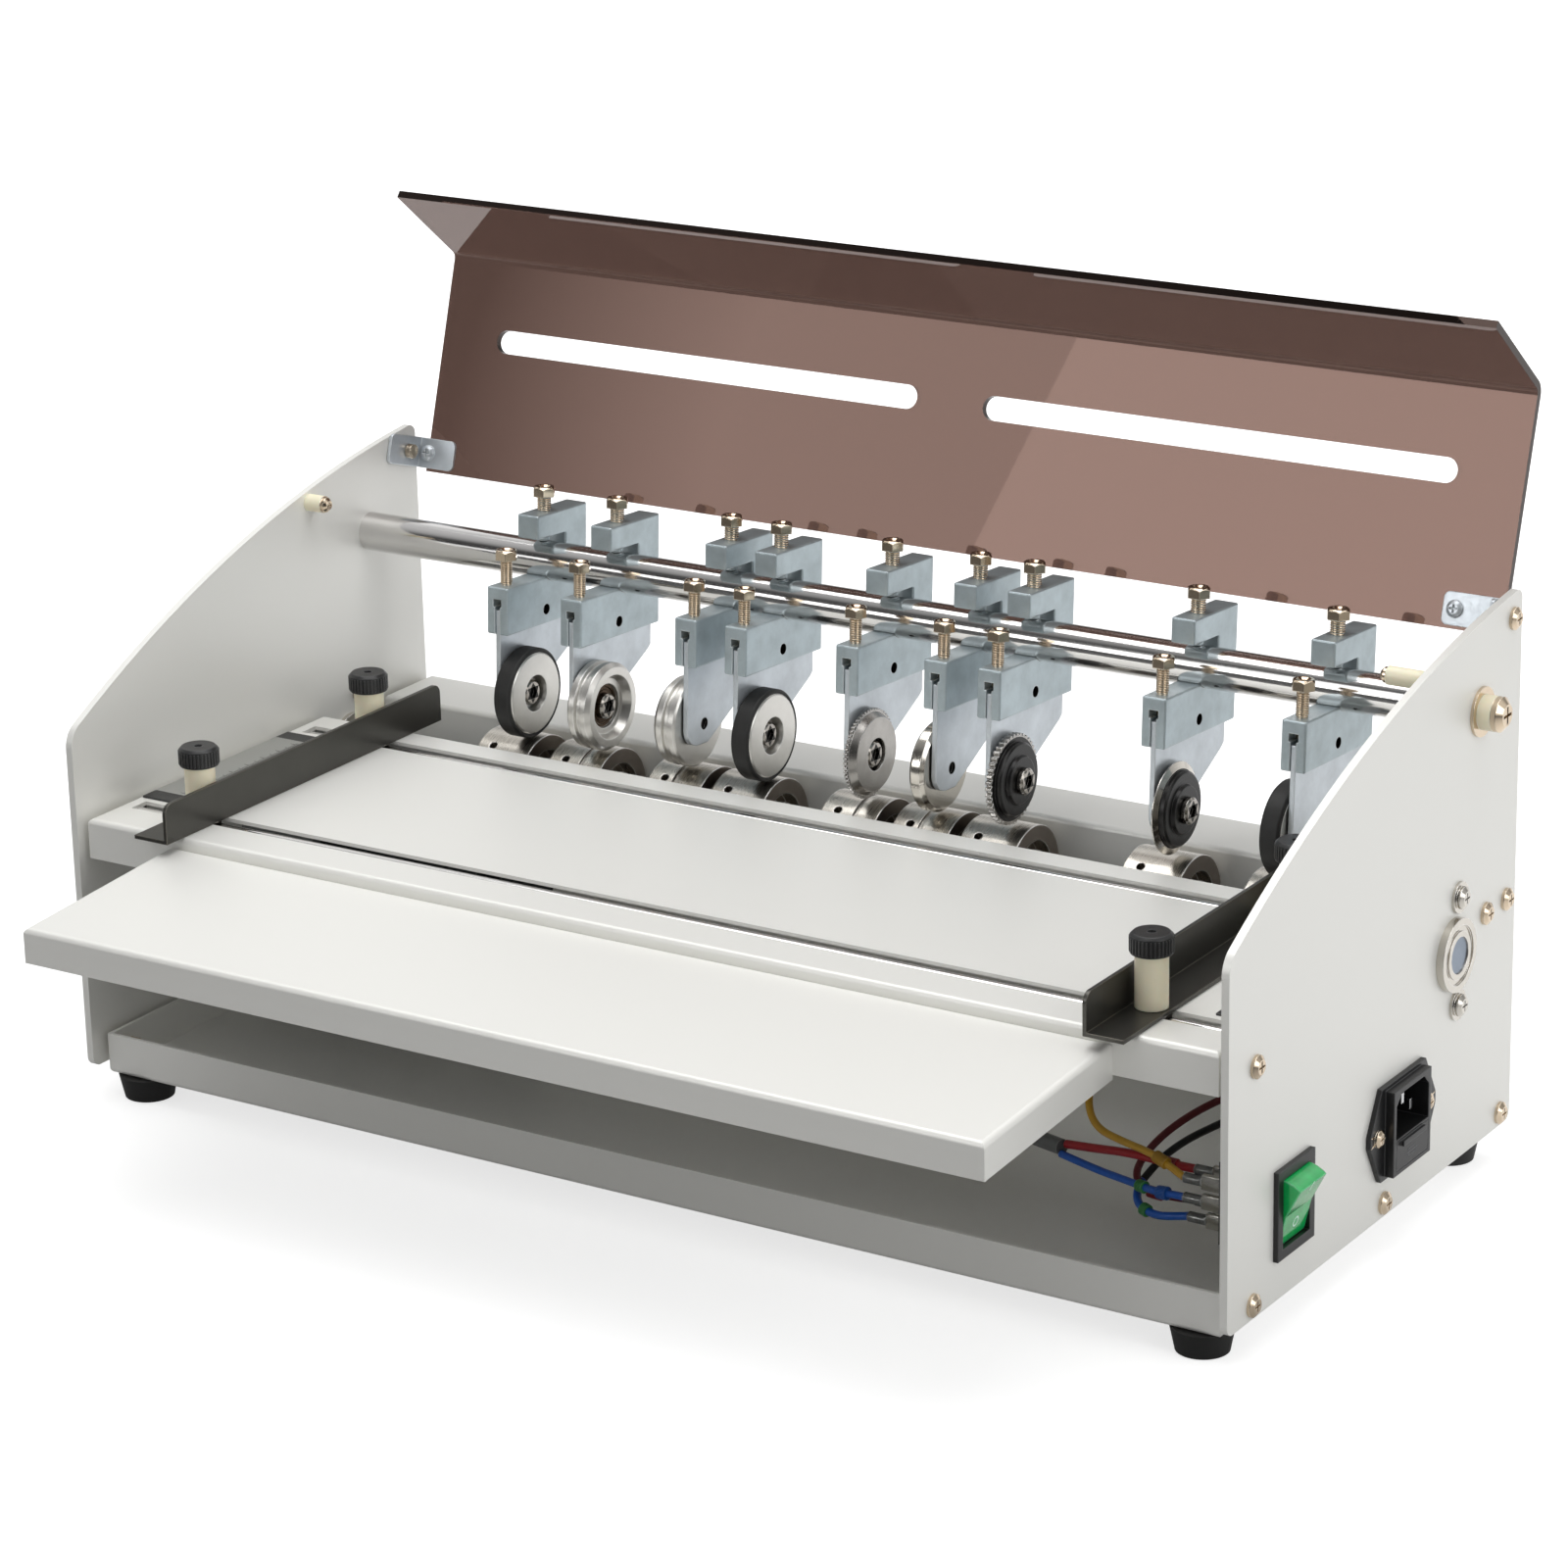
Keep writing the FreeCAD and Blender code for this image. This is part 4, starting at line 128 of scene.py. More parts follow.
class MachineSizes(bpy.types.PropertyGroup):
    """Sizes of the small parts that are added to the machine."""
    thread_pitch: length("Thread pitch", "Distance between two turns of a bolt's thread", 0.0009)
    thread_height: length("Thread height", "Height of the thread's ridge over the shank", 0.0004)
    mark_pitch: length("Ruler pitch", "Distance between two ruler marks", 0.001)
    mark_width: length("Ruler mark width", "Width of a printed mark", 0.00022)
    rib_count: IntProperty(name="Cap ribs", description="Ribs round a knob's cap", default=34, min=3)
    rib_width: length("Cap rib width", "Width of a rib on a knob's cap", 0.0007)


class StudioSettings(bpy.types.PropertyGroup):
    """Light of the plain studio."""
    key: FloatProperty(name="Key light", description="Power of the light on the operator's right", default=50,
                       min=0, unit="POWER")
    top: FloatProperty(name="Top light", description="Power of the light overhead", default=25, min=0, unit="POWER")
    card: FloatProperty(name="Mirror card", description="Power of the panel that the cover and bar mirror",
                        default=6.5, min=0, unit="POWER")
    room: FloatProperty(name="Room light", description="Strength of the even light of the room", default=0.43, min=0)


class Wires:
    """Adds nodes to a tree: a value that is a socket is linked, and any other is set."""

    def __init__(self, tree):
        self.tree = tree

    def add(self, kind, *values, **settings):
        """A new node with its settings, and (input, value) pairs."""
        node = self.tree.nodes.new(kind)
        for name, setting in settings.items():
            setattr(node, name, setting)
        for place, value in values:
            if isinstance(value, bpy.types.NodeSocket):
                self.tree.links.new(value, node.inputs[place])
            else:
                node.inputs[place].default_value = value
        return node

    def math(self, operation, first, second=0.0, clamp=False):
        """The result of a sum."""
        return self.add("ShaderNodeMath", (0, first), (1, second), operation=operation, use_clamp=clamp).outputs[0]

    def blend(self, share, first, second, how="MIX"):
        """A mix of two colours."""
        node = self.add("ShaderNodeMix", (0, share), (6, first), (7, second), data_type="RGBA", blend_type=how)
        return node.outputs[2]


def empty_tree(owner):
    """A material or world with an empty tree, and the tree's wires."""
    owner.use_nodes = True
    owner.node_tree.nodes.clear()
    return owner, Wires(owner.node_tree)


def shader_group(name, inputs, outputs):
    """An empty shader group with named sockets, its wires, its inputs and its end node."""
    tree = bpy.data.node_groups.new(name, "ShaderNodeTree")
    for label, kind, default in inputs:
        tree.interface.new_socket(label, in_out="INPUT", socket_type="NodeSocket" + kind).default_value = default
    for label, kind in outputs:
        tree.interface.new_socket(label, in_out="OUTPUT", socket_type="NodeSocket" + kind)
    wires = Wires(tree)
    return tree, wires, wires.add("NodeGroupInput").outputs, wires.add("NodeGroupOutput")


def clouding_group():
    """Slow, uneven shading of a plated or painted surface."""
    tree, wires, given, end = shader_group(
        "clouding", [("Scale", "Float", 20), ("Amount", "Float", 0.1)], [("Shade", "Float")])
    where = wires.add("ShaderNodeTexCoord").outputs["Object"]
    noise = wires.add("ShaderNodeTexNoise", ("Vector", where), ("Scale", given["Scale"]), ("Detail", 5.0),
                      ("Roughness", 0.62)).outputs[0]
    steep = wires.add("ShaderNodeMapRange", (0, noise), (1, 0.34), (2, 0.66)).outputs[0]
    tree.links.new(wires.math("SUBTRACT", 1.0, wires.math("MULTIPLY", steep, given["Amount"])), end.inputs[0])
    return tree


def grain_group():
    """Fine grain, even or drawn out along an axis."""
    tree, wires, given, end = shader_group(
        "grain", [("Stretch", "Vector", (900, 900, 900))], [("Height", "Float")])
    where = wires.add("ShaderNodeTexCoord").outputs["Object"]
    spread = wires.add("ShaderNodeVectorMath", (0, where), (1, given[0]), operation="MULTIPLY").outputs[0]
    noise = wires.add("ShaderNodeTexNoise", ("Vector", spread), ("Scale", 1.0), ("Detail", 3.0)).outputs[0]
    tree.links.new(noise, end.inputs[0])
    return tree


def edge_group():
    """A mask of the edges, by which a highlight is painted along them, and a normal that rounds them off."""
    tree, wires, given, end = shader_group(
        "worn_edges", [("Radius", "Float", 0.0006)], [("Mask", "Float"), ("Normal", "Vector")])
    round_normal = wires.add("ShaderNodeBevel", ("Radius", given[0]), samples=6).outputs[0]
    flat_normal = wires.add("ShaderNodeNewGeometry").outputs["Normal"]
    same = wires.add("ShaderNodeVectorMath", (0, round_normal), (1, flat_normal), operation="DOT_PRODUCT")
    mask = wires.add("ShaderNodeMapRange", (0, same.outputs["Value"]), (1, 0.995), (2, 0.86)).outputs[0]
    tree.links.new(mask, end.inputs[0])
    tree.links.new(round_normal, end.inputs[1])
    return tree


def turning_group():
    """Rings left by the lathe on a part that turns about a line along X."""
    tree, wires, given, end = shader_group(
        "turning_marks", [("Centre", "Vector", (0, 0, 0)), ("Rings", "Float", 900)], [("Height", "Float")])
    where = wires.add("ShaderNodeTexCoord").outputs["Object"]
    away = wires.add("ShaderNodeVectorMath", (0, where), (1, given[0]), operation="SUBTRACT").outputs[0]
    parts = wires.add("ShaderNodeSeparateXYZ", (0, away)).outputs
    flat = wires.add("ShaderNodeCombineXYZ", (1, parts[1]), (2, parts[2])).outputs[0]
    reach = wires.add("ShaderNodeVectorMath", (0, flat), operation="LENGTH").outputs["Value"]
    total = wires.math("ADD", reach, parts[0])
    spread = wires.add("ShaderNodeCombineXYZ", (0, wires.math("MULTIPLY", total, given[1]))).outputs[0]
    noise = wires.add("ShaderNodeTexNoise", ("Vector", spread), ("Scale", 1.0), ("Detail", 2.0)).outputs[0]
    tree.links.new(noise, end.inputs[0])
    return tree


GROUP_MAKERS = {"clouding": clouding_group, "grain": grain_group, "worn_edges": edge_group,
                "turning_marks": turning_group}


def shared(wires, name, *values):
    """A shared shader group's node, made on first use."""
    return wires.add("ShaderNodeGroup", *values,
                     node_tree=bpy.data.node_groups.get(name) or GROUP_MAKERS[name]())


def surface(name, colour, roughness, metallic=0.0, cloud=(20.0, 0.04), grain=((900.0,) * 3, 0.00002), spread=0.06,
            edge=(0.0005, (1.0, 1.0, 1.0, 1.0), 0.2), turned=None, plain=None):
    """A finish: clouded colour, a painted highlight along the edges, grain and lathe marks on one Principled shader."""
    made = bpy.data.materials.get(name)
    if made:
        return made
    made, wires = empty_tree(bpy.data.materials.new(name))
    edge_light = shared(wires, "worn_edges", ("Radius", edge[0])).outputs
    shade = shared(wires, "clouding", ("Scale", cloud[0]), ("Amount", cloud[1])).outputs[0]
    height = shared(wires, "grain", ("Stretch", grain[0])).outputs[0]
    clouded = wires.blend(1.0, tuple(colour), shade, "MULTIPLY")
    # Painted highlight: the edge colour is mixed over the edges in the share that edge[2] gives.
    coloured = wires.blend(wires.math("MULTIPLY", edge_light["Mask"], edge[2]), clouded, edge[1])
    rough = wires.math("ADD", roughness - spread / 2, wires.math("MULTIPLY", height, spread), clamp=True)
    bump = wires.add("ShaderNodeBump", ("Strength", 1.0), ("Distance", grain[1]), ("Height", height),
                     ("Normal", edge_light["Normal"])).outputs[0]
    if turned:
        rings = shared(wires, "turning_marks", ("Centre", turned[0]), ("Rings", turned[1])).outputs[0]
        bump = wires.add("ShaderNodeBump", ("Strength", 1.0), ("Distance", turned[2]), ("Height", rings),
                         ("Normal", bump)).outputs[0]
    shader = wires.add("ShaderNodeBsdfPrincipled", ("Base Color", coloured), ("Metallic", metallic),
                       ("Roughness", rough), ("Normal", bump))
    for socket, value in (plain or {}).items():
        shader.inputs[socket].default_value = value
    wires.add("ShaderNodeOutputMaterial", (0, shader.outputs[0]))
    return made


WHITE = (1.0, 1.0, 1.0, 1.0)
WHEEL_LINE, SHAFT_LINE = (0.0, *WHEEL_AXIS), (0.0, *SHAFT_AXIS)
NO_EDGE = (0.0002, WHITE, 0.0)
# Colour (the name of a setting, or red, green and blue), roughness, metallic share, and the rest of surface()'s values.
# In each edge entry: the radius, then the colour and share of the highlight painted along the edges.
FINISHES = {
    "powder_coat": ("coat", 0.46, 0.0, dict(
        cloud=(9.0, 0.015), grain=((1500.0,) * 3, 0.00002), edge=(0.0009, WHITE, 0.3),
        plain={"Specular IOR Level": 0.25})),
    "holder_zinc": ("zinc", 0.34, 0.6, dict(
        cloud=(110.0, 0.18), grain=((500.0, 500.0, 2500.0), 0.00002), spread=0.14,
        edge=(0.0007, screen(240, 246, 249), 0.9))),
    "arm_zinc": ("arm_zinc", 0.34, 0.6, dict(
        cloud=(60.0, 0.2), grain=((700.0,) * 3, 0.00002), spread=0.14, edge=(0.0006, screen(240, 244, 246), 0.8))),
    "champagne_nickel": ("nickel", 0.12, 1.0, dict(
        cloud=(200.0, 0.06), grain=((1500.0,) * 3, 0.000006), edge=(0.0004, screen(255, 250, 236), 0.7))),
    "chrome": ("chrome", 0.09, 1.0, dict(
        cloud=(15.0, 0.05), grain=((12.0, 2500.0, 2500.0), 0.000004), spread=0.05, edge=(0.0006, WHITE, 0.5))),
    "roller_steel": ("roller", 0.28, 1.0, dict(
        cloud=(90.0, 0.1), grain=((3000.0, 60.0, 60.0), 0.00001), spread=0.1, edge=(0.0007, WHITE, 0.7))),
    "roller_end": ("roller_end", 0.34, 1.0, dict(
        cloud=(60.0, 0.2), edge=(0.0007, WHITE, 0.9), turned=(SHAFT_LINE, 1400.0, 0.00003))),
    "turned_aluminium": ("aluminium", 0.33, 1.0, dict(
        cloud=(60.0, 0.12), edge=(0.0005, WHITE, 0.8), turned=(WHEEL_LINE, 1500.0, 0.00003))),
    "tool_steel": ("tool_steel", 0.26, 1.0, dict(
        cloud=(120.0, 0.16), edge=(0.0004, WHITE, 0.7), turned=(WHEEL_LINE, 1700.0, 0.00005))),
    "polished_steel": ("roller", 0.14, 1.0, dict(
        cloud=(70.0, 0.06), edge=(0.0004, WHITE, 0.8), turned=(WHEEL_LINE, 1200.0, 0.00003))),
    "bearing_bronze": ((74, 58, 44), 0.28, 0.9, dict(
        cloud=(150.0, 0.2), edge=(0.0004, screen(170, 150, 128), 0.7), turned=(WHEEL_LINE, 1400.0, 0.00004))),
    "black_oxide": ((34, 33, 33), 0.3, 0.5, dict(
        cloud=(100.0, 0.1), edge=(0.0005, screen(120, 120, 120), 0.5), turned=(WHEEL_LINE, 1400.0, 0.00004))),
    "pin_steel": ((168, 163, 156), 0.2, 1.0, dict(edge=(0.0004, WHITE, 0.6))),
    # Dark steel of the wheel bolts and the cutting disc's bore; on the sunk pivot pins it is painted shade that makes
    # the bore look like a dark hole.
    "dark_steel": ((48, 47, 46), 0.35, 0.9, dict(edge=(0.0004, screen(190, 186, 180), 0.7))),
    "bright_steel": ((205, 206, 208), 0.16, 1.0, dict(cloud=(60.0, 0.06), edge=(0.0005, WHITE, 0.6))),
    "shaft_end": ((136, 146, 160), 0.32, 0.9, dict(cloud=(80.0, 0.1), edge=(0.0006, WHITE, 0.6))),
    "cream_nylon": ("cream", 0.4, 0.0, dict(
        cloud=(60.0, 0.04), edge=(0.0008, WHITE, 0.3),
        plain={"Subsurface Weight": 0.15, "Subsurface Scale": 0.003})),
    "black_moulding": ("moulding", 0.34, 0.0, dict(
        cloud=(60.0, 0.1), grain=((2200.0,) * 3, 0.00003), edge=(0.0007, screen(96, 97, 98), 0.55))),
    "rubber": ("rubber", 0.55, 0.0, dict(
        cloud=(50.0, 0.15), grain=((2500.0,) * 3, 0.00004), edge=(0.0008, screen(70, 70, 69), 0.4))),
    "guide_paint": ("guide", 0.3, 0.75, dict(
        cloud=(30.0, 0.12), grain=((1600.0,) * 3, 0.00002), edge=(0.0005, screen(150, 144, 132), 0.6))),
    "green_lens": ("lens", 0.16, 0.0, dict(
        cloud=(140.0, 0.25), grain=((700.0,) * 3, 0.00001), edge=(0.0012, screen(150, 250, 200), 0.55),
        plain={"Coat Weight": 0.6, "Coat Roughness": 0.05, "Subsurface Weight": 0.3, "Subsurface Scale": 0.004,
               "Transmission Weight": 0.12})),
    "ruler_foil": ((188, 189, 186), 0.3, 0.8, dict(grain=((3000.0, 100.0, 3000.0), 0.00001))),
    "cast_metal": ((150, 152, 152), 0.5, 0.7, dict(cloud=(45.0, 0.15), grain=((900.0,) * 3, 0.00008))),
    "motor_can": ((62, 64, 66), 0.4, 0.7, dict(cloud=(25.0, 0.1))),
    "print_black": ((26, 26, 28), 0.5, 0.0, dict(edge=NO_EDGE)),
    "print_white": ((214, 250, 230), 0.4, 0.0, dict(edge=NO_EDGE)),
    "print_grey": ((92, 94, 96), 0.4, 0.0, dict(edge=NO_EDGE)),
    "tinned_brass": ((206, 204, 196), 0.25, 1.0, dict(cloud=(150.0, 0.12))),
    "clear_sleeve": ((214, 216, 214), 0.22, 0.5, dict(cloud=(80.0, 0.1))),
}
INSULATION = {"insulation_sleeve": (104, 106, 106), "insulation_earth": (206, 158, 42), "insulation_red": (168, 26, 34),
              "insulation_blue": (24, 92, 190), "insulation_maroon": (104, 20, 30), "insulation_black": (24, 24, 26),
              "insulation_tail": (24, 96, 196), "collar_green": (60, 150, 78), "collar_blue": (30, 96, 186)}


def finish(name):
    """One of the machine's finishes, made on first use from the user's colours."""
    if name in INSULATION:
        return surface(name, screen(*INSULATION[name]), 0.38, cloud=(120.0, 0.12), grain=((1400.0,) * 3, 0.00002),
                       plain={"Coat Weight": 0.2, "Coat Roughness": 0.2})
    colour, roughness, metallic, rest = FINISHES[name]
    tone = getattr(bpy.context.scene.machine_colours, colour) if isinstance(colour, str) else screen(*colour)
    return surface(name, tone, roughness, metallic, **rest)


def acrylic_material(name, colour):
    """Smoked acrylic, which lets light through and mirrors the room warmly."""
    made, wires = empty_tree(bpy.data.materials.new(name))
    shade = shared(wires, "clouding", ("Scale", 3.0), ("Amount", 0.05)).outputs[0]
    shader = wires.add("ShaderNodeBsdfPrincipled", ("Base Color", wires.blend(1.0, tuple(colour), shade, "MULTIPLY")),
                       ("Roughness", 0.01), ("IOR", 1.49), ("Transmission Weight", 1.0),
                       ("Specular Tint", (1.0, 0.7, 0.6, 1.0)))
    wires.add("ShaderNodeOutputMaterial", (0, shader.outputs[0]))
    return made


def paint(node, name, *zones):
    """Give a node's mesh its finish, and the faces of each zone the zone's own."""
    mesh = NODES[node].data
    mesh.materials.clear()
    mesh.materials.append(name if isinstance(name, bpy.types.Material) else finish(name))
    slots = [0] * len(mesh.polygons)
    for number, (zone, test) in enumerate(zones, 1):
        mesh.materials.append(zone if isinstance(zone, bpy.types.Material) else finish(zone))
        for face in mesh.polygons:
            if test(face.center, face.normal):
                slots[face.index] = number
    mesh.polygons.foreach_set("material_index", slots)


def round_x(centre, low, high):
    """A test for faces between two distances from a line along X."""
    return lambda at, normal: low <= math.hypot(at.y - centre[0], at.z - centre[1]) < high


def geometry_tree(name, sizes):
    """An empty Geometry Nodes tree with named inputs; returns the tree, its wires and its inputs."""
    tree = bpy.data.node_groups.new(name, "GeometryNodeTree")
    tree.interface.new_socket("Geometry", in_out="INPUT", socket_type="NodeSocketGeometry")
    for label, kind, default in sizes:
        tree.interface.new_socket(label, in_out="INPUT", socket_type="NodeSocket" + kind).default_value = default
    tree.interface.new_socket("Material", in_out="INPUT", socket_type="NodeSocketMaterial")
    tree.interface.new_socket("Geometry", in_out="OUTPUT", socket_type="NodeSocketGeometry")
    wires = Wires(tree)
    return tree, wires, wires.add("NodeGroupInput").outputs


def end_tree(tree, wires, given, shape):
    """Make instances real, set the material and end the tree."""
    real = wires.add("GeometryNodeRealizeInstances", (0, shape)).outputs[0]
    done = wires.add("GeometryNodeSetMaterial", ("Geometry", real), ("Material", given["Material"])).outputs[0]
    wires.add("NodeGroupOutput", (0, done))
    return tree


def thread_tree():
    """A thread's ridge, wound up a shank that stands on the origin."""
    tree, wires, given = geometry_tree("screw_thread", [("Radius", "Float", 0.002), ("Length", "Float", 0.01),
                                                        ("Pitch", "Float", 0.001), ("Ridge", "Float", 0.0003)])
    turns = wires.math("DIVIDE", given["Length"], given["Pitch"])
    wound = wires.add("GeometryNodeCurveSpiral", ("Resolution", 20), ("Rotations", turns),
                      ("Start Radius", given["Radius"]), ("End Radius", given["Radius"]), ("Height", given["Length"]))
    ridge = wires.add("GeometryNodeCurvePrimitiveCircle", ("Resolution", 5), ("Radius", given["Ridge"]))
    solid = wires.add("GeometryNodeCurveToMesh", ("Curve", wound.outputs[0]), ("Profile Curve", ridge.outputs[0]),
                      ("Fill Caps", True))
    return end_tree(tree, wires, given, solid.outputs[0])


def row_tree():
    """A row of small blocks."""
    tree, wires, given = geometry_tree("row_of_marks", [("Size", "Vector", (0.001,) * 3), ("Count", "Int", 10),
                                                        ("Start", "Vector", (0, 0, 0)), ("Step", "Vector", (0, 0, 0))])
    line = wires.add("GeometryNodeMeshLine", ("Count", given["Count"]), ("Start Location", given["Start"]),
                     ("Offset", given["Step"]))
    mark = wires.add("GeometryNodeMeshCube", ("Size", given["Size"]))
    marks = wires.add("GeometryNodeInstanceOnPoints", ("Points", line.outputs[0]), ("Instance", mark.outputs[0]))
    return end_tree(tree, wires, given, marks.outputs[0])


def rib_tree():
    """Small blocks round a circle about Z, each turned with it."""
    tree, wires, given = geometry_tree("ring_of_ribs", [("Size", "Vector", (0.001,) * 3), ("Count", "Int", 30),
                                                        ("Radius", "Float", 0.007)])
    number = wires.add("GeometryNodeInputIndex").outputs[0]
    turn = wires.math("DIVIDE", wires.math("MULTIPLY", number, math.tau), given["Count"])
    across = wires.math("MULTIPLY", wires.math("COSINE", turn), given["Radius"])
    along = wires.math("MULTIPLY", wires.math("SINE", turn), given["Radius"])
    spots = wires.add("GeometryNodePoints", ("Count", given["Count"]),
                      ("Position", wires.add("ShaderNodeCombineXYZ", (0, across), (1, along)).outputs[0]))
    rib = wires.add("GeometryNodeMeshCube", ("Size", given["Size"]))
    ribs = wires.add("GeometryNodeInstanceOnPoints", ("Points", spots.outputs[0]), ("Instance", rib.outputs[0]),
                     ("Rotation", wires.add("ShaderNodeCombineXYZ", (2, turn)).outputs[0]))
    return end_tree(tree, wires, given, ribs.outputs[0])


TREE_MAKERS = {"screw_thread": thread_tree, "row_of_marks": row_tree, "ring_of_ribs": rib_tree}


def grown(name, material, **sizes):
    """The plain mesh that one of the trees makes with these inputs."""
    tree = bpy.data.node_groups.get(name) or TREE_MAKERS[name]()
    carrier = bpy.data.objects.new("carrier", bpy.data.meshes.new("carrier"))
    bpy.context.scene.collection.objects.link(carrier)
    modifier = carrier.modifiers.new("tree", "NODES")
    modifier.node_group = tree
    sizes["Material"] = finish(material)
    for item in tree.interface.items_tree:
        if item.in_out == "INPUT" and item.name in sizes:
            modifier[item.identifier] = sizes[item.name]
    graph = bpy.context.evaluated_depsgraph_get()
    mesh = bpy.data.meshes.new_from_object(carrier.evaluated_get(graph), depsgraph=graph)
    bpy.data.objects.remove(carrier)
    return mesh


def shaped(build, material, bevel=0.0):
    """A mesh from a function that fills a bmesh, with soft edges if asked."""
    form = bmesh.new()
    build(form)
    if bevel:
        bmesh.ops.bevel(form, geom=form.edges[:], offset=bevel, segments=2, affect="EDGES", profile=0.5)
    bmesh.ops.recalc_face_normals(form, faces=form.faces[:])
    mesh = bpy.data.meshes.new("form")
    form.to_mesh(mesh)
    form.free()
    mesh.materials.append(finish(material))
    return mesh


def block(size, material, bevel=0.0):
    """A block centred on the origin."""
    def build(form):
        bmesh.ops.create_cube(form, size=1.0)
        bmesh.ops.scale(form, vec=size, verts=form.verts[:])
    return shaped(build, material, bevel)


def tube(radius, tall, material, bevel=0.0, steps=32, top=None):
    """A round bar about Z, centred on the origin."""
    def build(form):
        bmesh.ops.create_cone(form, cap_ends=True, segments=steps, radius1=radius, radius2=top or radius, depth=tall)
    return shaped(build, material, bevel)


def ring(inner, outer, tall, material, steps=36):
    """A flat ring about Z that stands on the origin."""
    def build(form):
        rows = []
        for radius, rise in ((inner, 0), (outer, 0), (outer, tall), (inner, tall)):
            rows.append([form.verts.new((radius * math.cos(turn), radius * math.sin(turn), rise))
                         for turn in (math.tau * step / steps for step in range(steps))])
        for row, following in zip(rows, rows[1:] + rows[:1]):
            for here in range(steps):
                there = (here + 1) % steps
                form.faces.new((row[here], row[there], following[there], following[here]))
    return shaped(build, material)


def move(x, y, z):
    """A shift."""
    return Matrix.Translation((x, y, z))


def piece(name, body, parts, smooth=35):
    """One object at the origin from (mesh, place) pairs; it rides on a body."""
    form, materials = bmesh.new(), []
    for mesh, place in parts:
        mesh = mesh.copy()
        mesh.transform(place)
        for material in mesh.materials:
            if material not in materials:
                materials.append(material)
        numbers = [materials.index(mesh.materials[face.material_index]) for face in mesh.polygons]
        mesh.polygons.foreach_set("material_index", numbers)
        form.from_mesh(mesh)
    mesh = bpy.data.meshes.new(name)
    form.to_mesh(mesh)
    form.free()
    for material in materials:
        mesh.materials.append(material)
    mesh.polygons.foreach_set("use_smooth", [True] * len(mesh.polygons))
    mesh.set_sharp_from_angle(angle=math.radians(smooth))
    made = bpy.data.objects.new(name, mesh)
    bpy.context.scene.collection.objects.link(made)
    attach(made, body)
    return made


def station(name, y, z):
    """The place of a point beside the bar's axis on a leaning station."""
    lean = Matrix.Rotation(-HOLDER_LEAN, 4, "X")
    return move(STATION_X[name], *BAR) @ lean @ move(0, y, z)


def upright(name, at):
    """A world point measured beside the bar's axis on a leaning station."""
    back, rise = at.y - BAR[0], at.z - BAR[1]
    turn, slope = math.cos(HOLDER_LEAN), math.sin(HOLDER_LEAN)
    return at.x - STATION_X[name], back * turn - rise * slope, back * slope + rise * turn


class Task(bpy.types.Operator):
    """A step that always finishes or raises an error."""
    bl_options = {"REGISTER", "UNDO"}

    def execute(self, context):
        """Do the step."""
        self.work(context.scene)
        return {"FINISHED"}

    def work(self, scene):
        """What the step does to the scene; each step has its own."""
        raise NotImplementedError(self.bl_idname)


class MACHINE_OT_sheet_metal(Task):
    """Powder coat on the plates, pan, tables, tray and drive cover."""
    bl_idname = "machine.sheet_metal"
    bl_label = "Sheet metal"

    def work(self, scene):
        for node in ("left_side_plate", "right_side_plate", "base_pan", "feed_table", "front_table", "rear_tray",
                     "drive_cover"):
            paint(node, "powder_coat")


class MACHINE_OT_bar_fittings(Task):
    """Chrome bar, its end fittings, the cover's rest pegs, screws and feet."""
    bl_idname = "machine.bar_fittings"
    bl_label = "Bar, pegs, screws and feet"

    def work(self, scene):
        paint("cross_bar", "chrome")
        paint("guide_rails", "chrome")
        paint("frame_screws", "champagne_nickel")
        paint("rubber_feet", "rubber")
        paint("bar_end_fittings", "champagne_nickel",
              ("cream_nylon", lambda at, normal: SPACER[0] <= abs(at.x) <= SPACER[1]))
        paint("cover_rest_pegs", "cream_nylon", ("champagne_nickel", round_x(REST_PEG, 0, PEG_SCREW)))


class MACHINE_OT_rollers_and_drive(Task):
    """Anvil rollers, shaft, bearings, gears and gearmotor."""
    bl_idname = "machine.rollers_and_drive"
    bl_label = "Rollers and drive"

    def work(self, scene):
        # The end faces take the darker roller_end tone: partly turned finish, partly painted shade between the rollers.
        paint("anvil_rollers", "roller_steel", ("roller_end", lambda at, normal: abs(normal.x) > 0.7))
        paint("lower_shaft", "bright_steel", ("shaft_end", lambda at, normal: abs(normal.x) > 0.9))
        paint("shaft_bearings", "polished_steel")
        paint("driven_gear", "bright_steel")
        paint("motor_pinion", "bright_steel")
        paint("gearmotor", "cast_metal", ("motor_can", lambda at, normal: at.x > MOTOR_CAN_END))


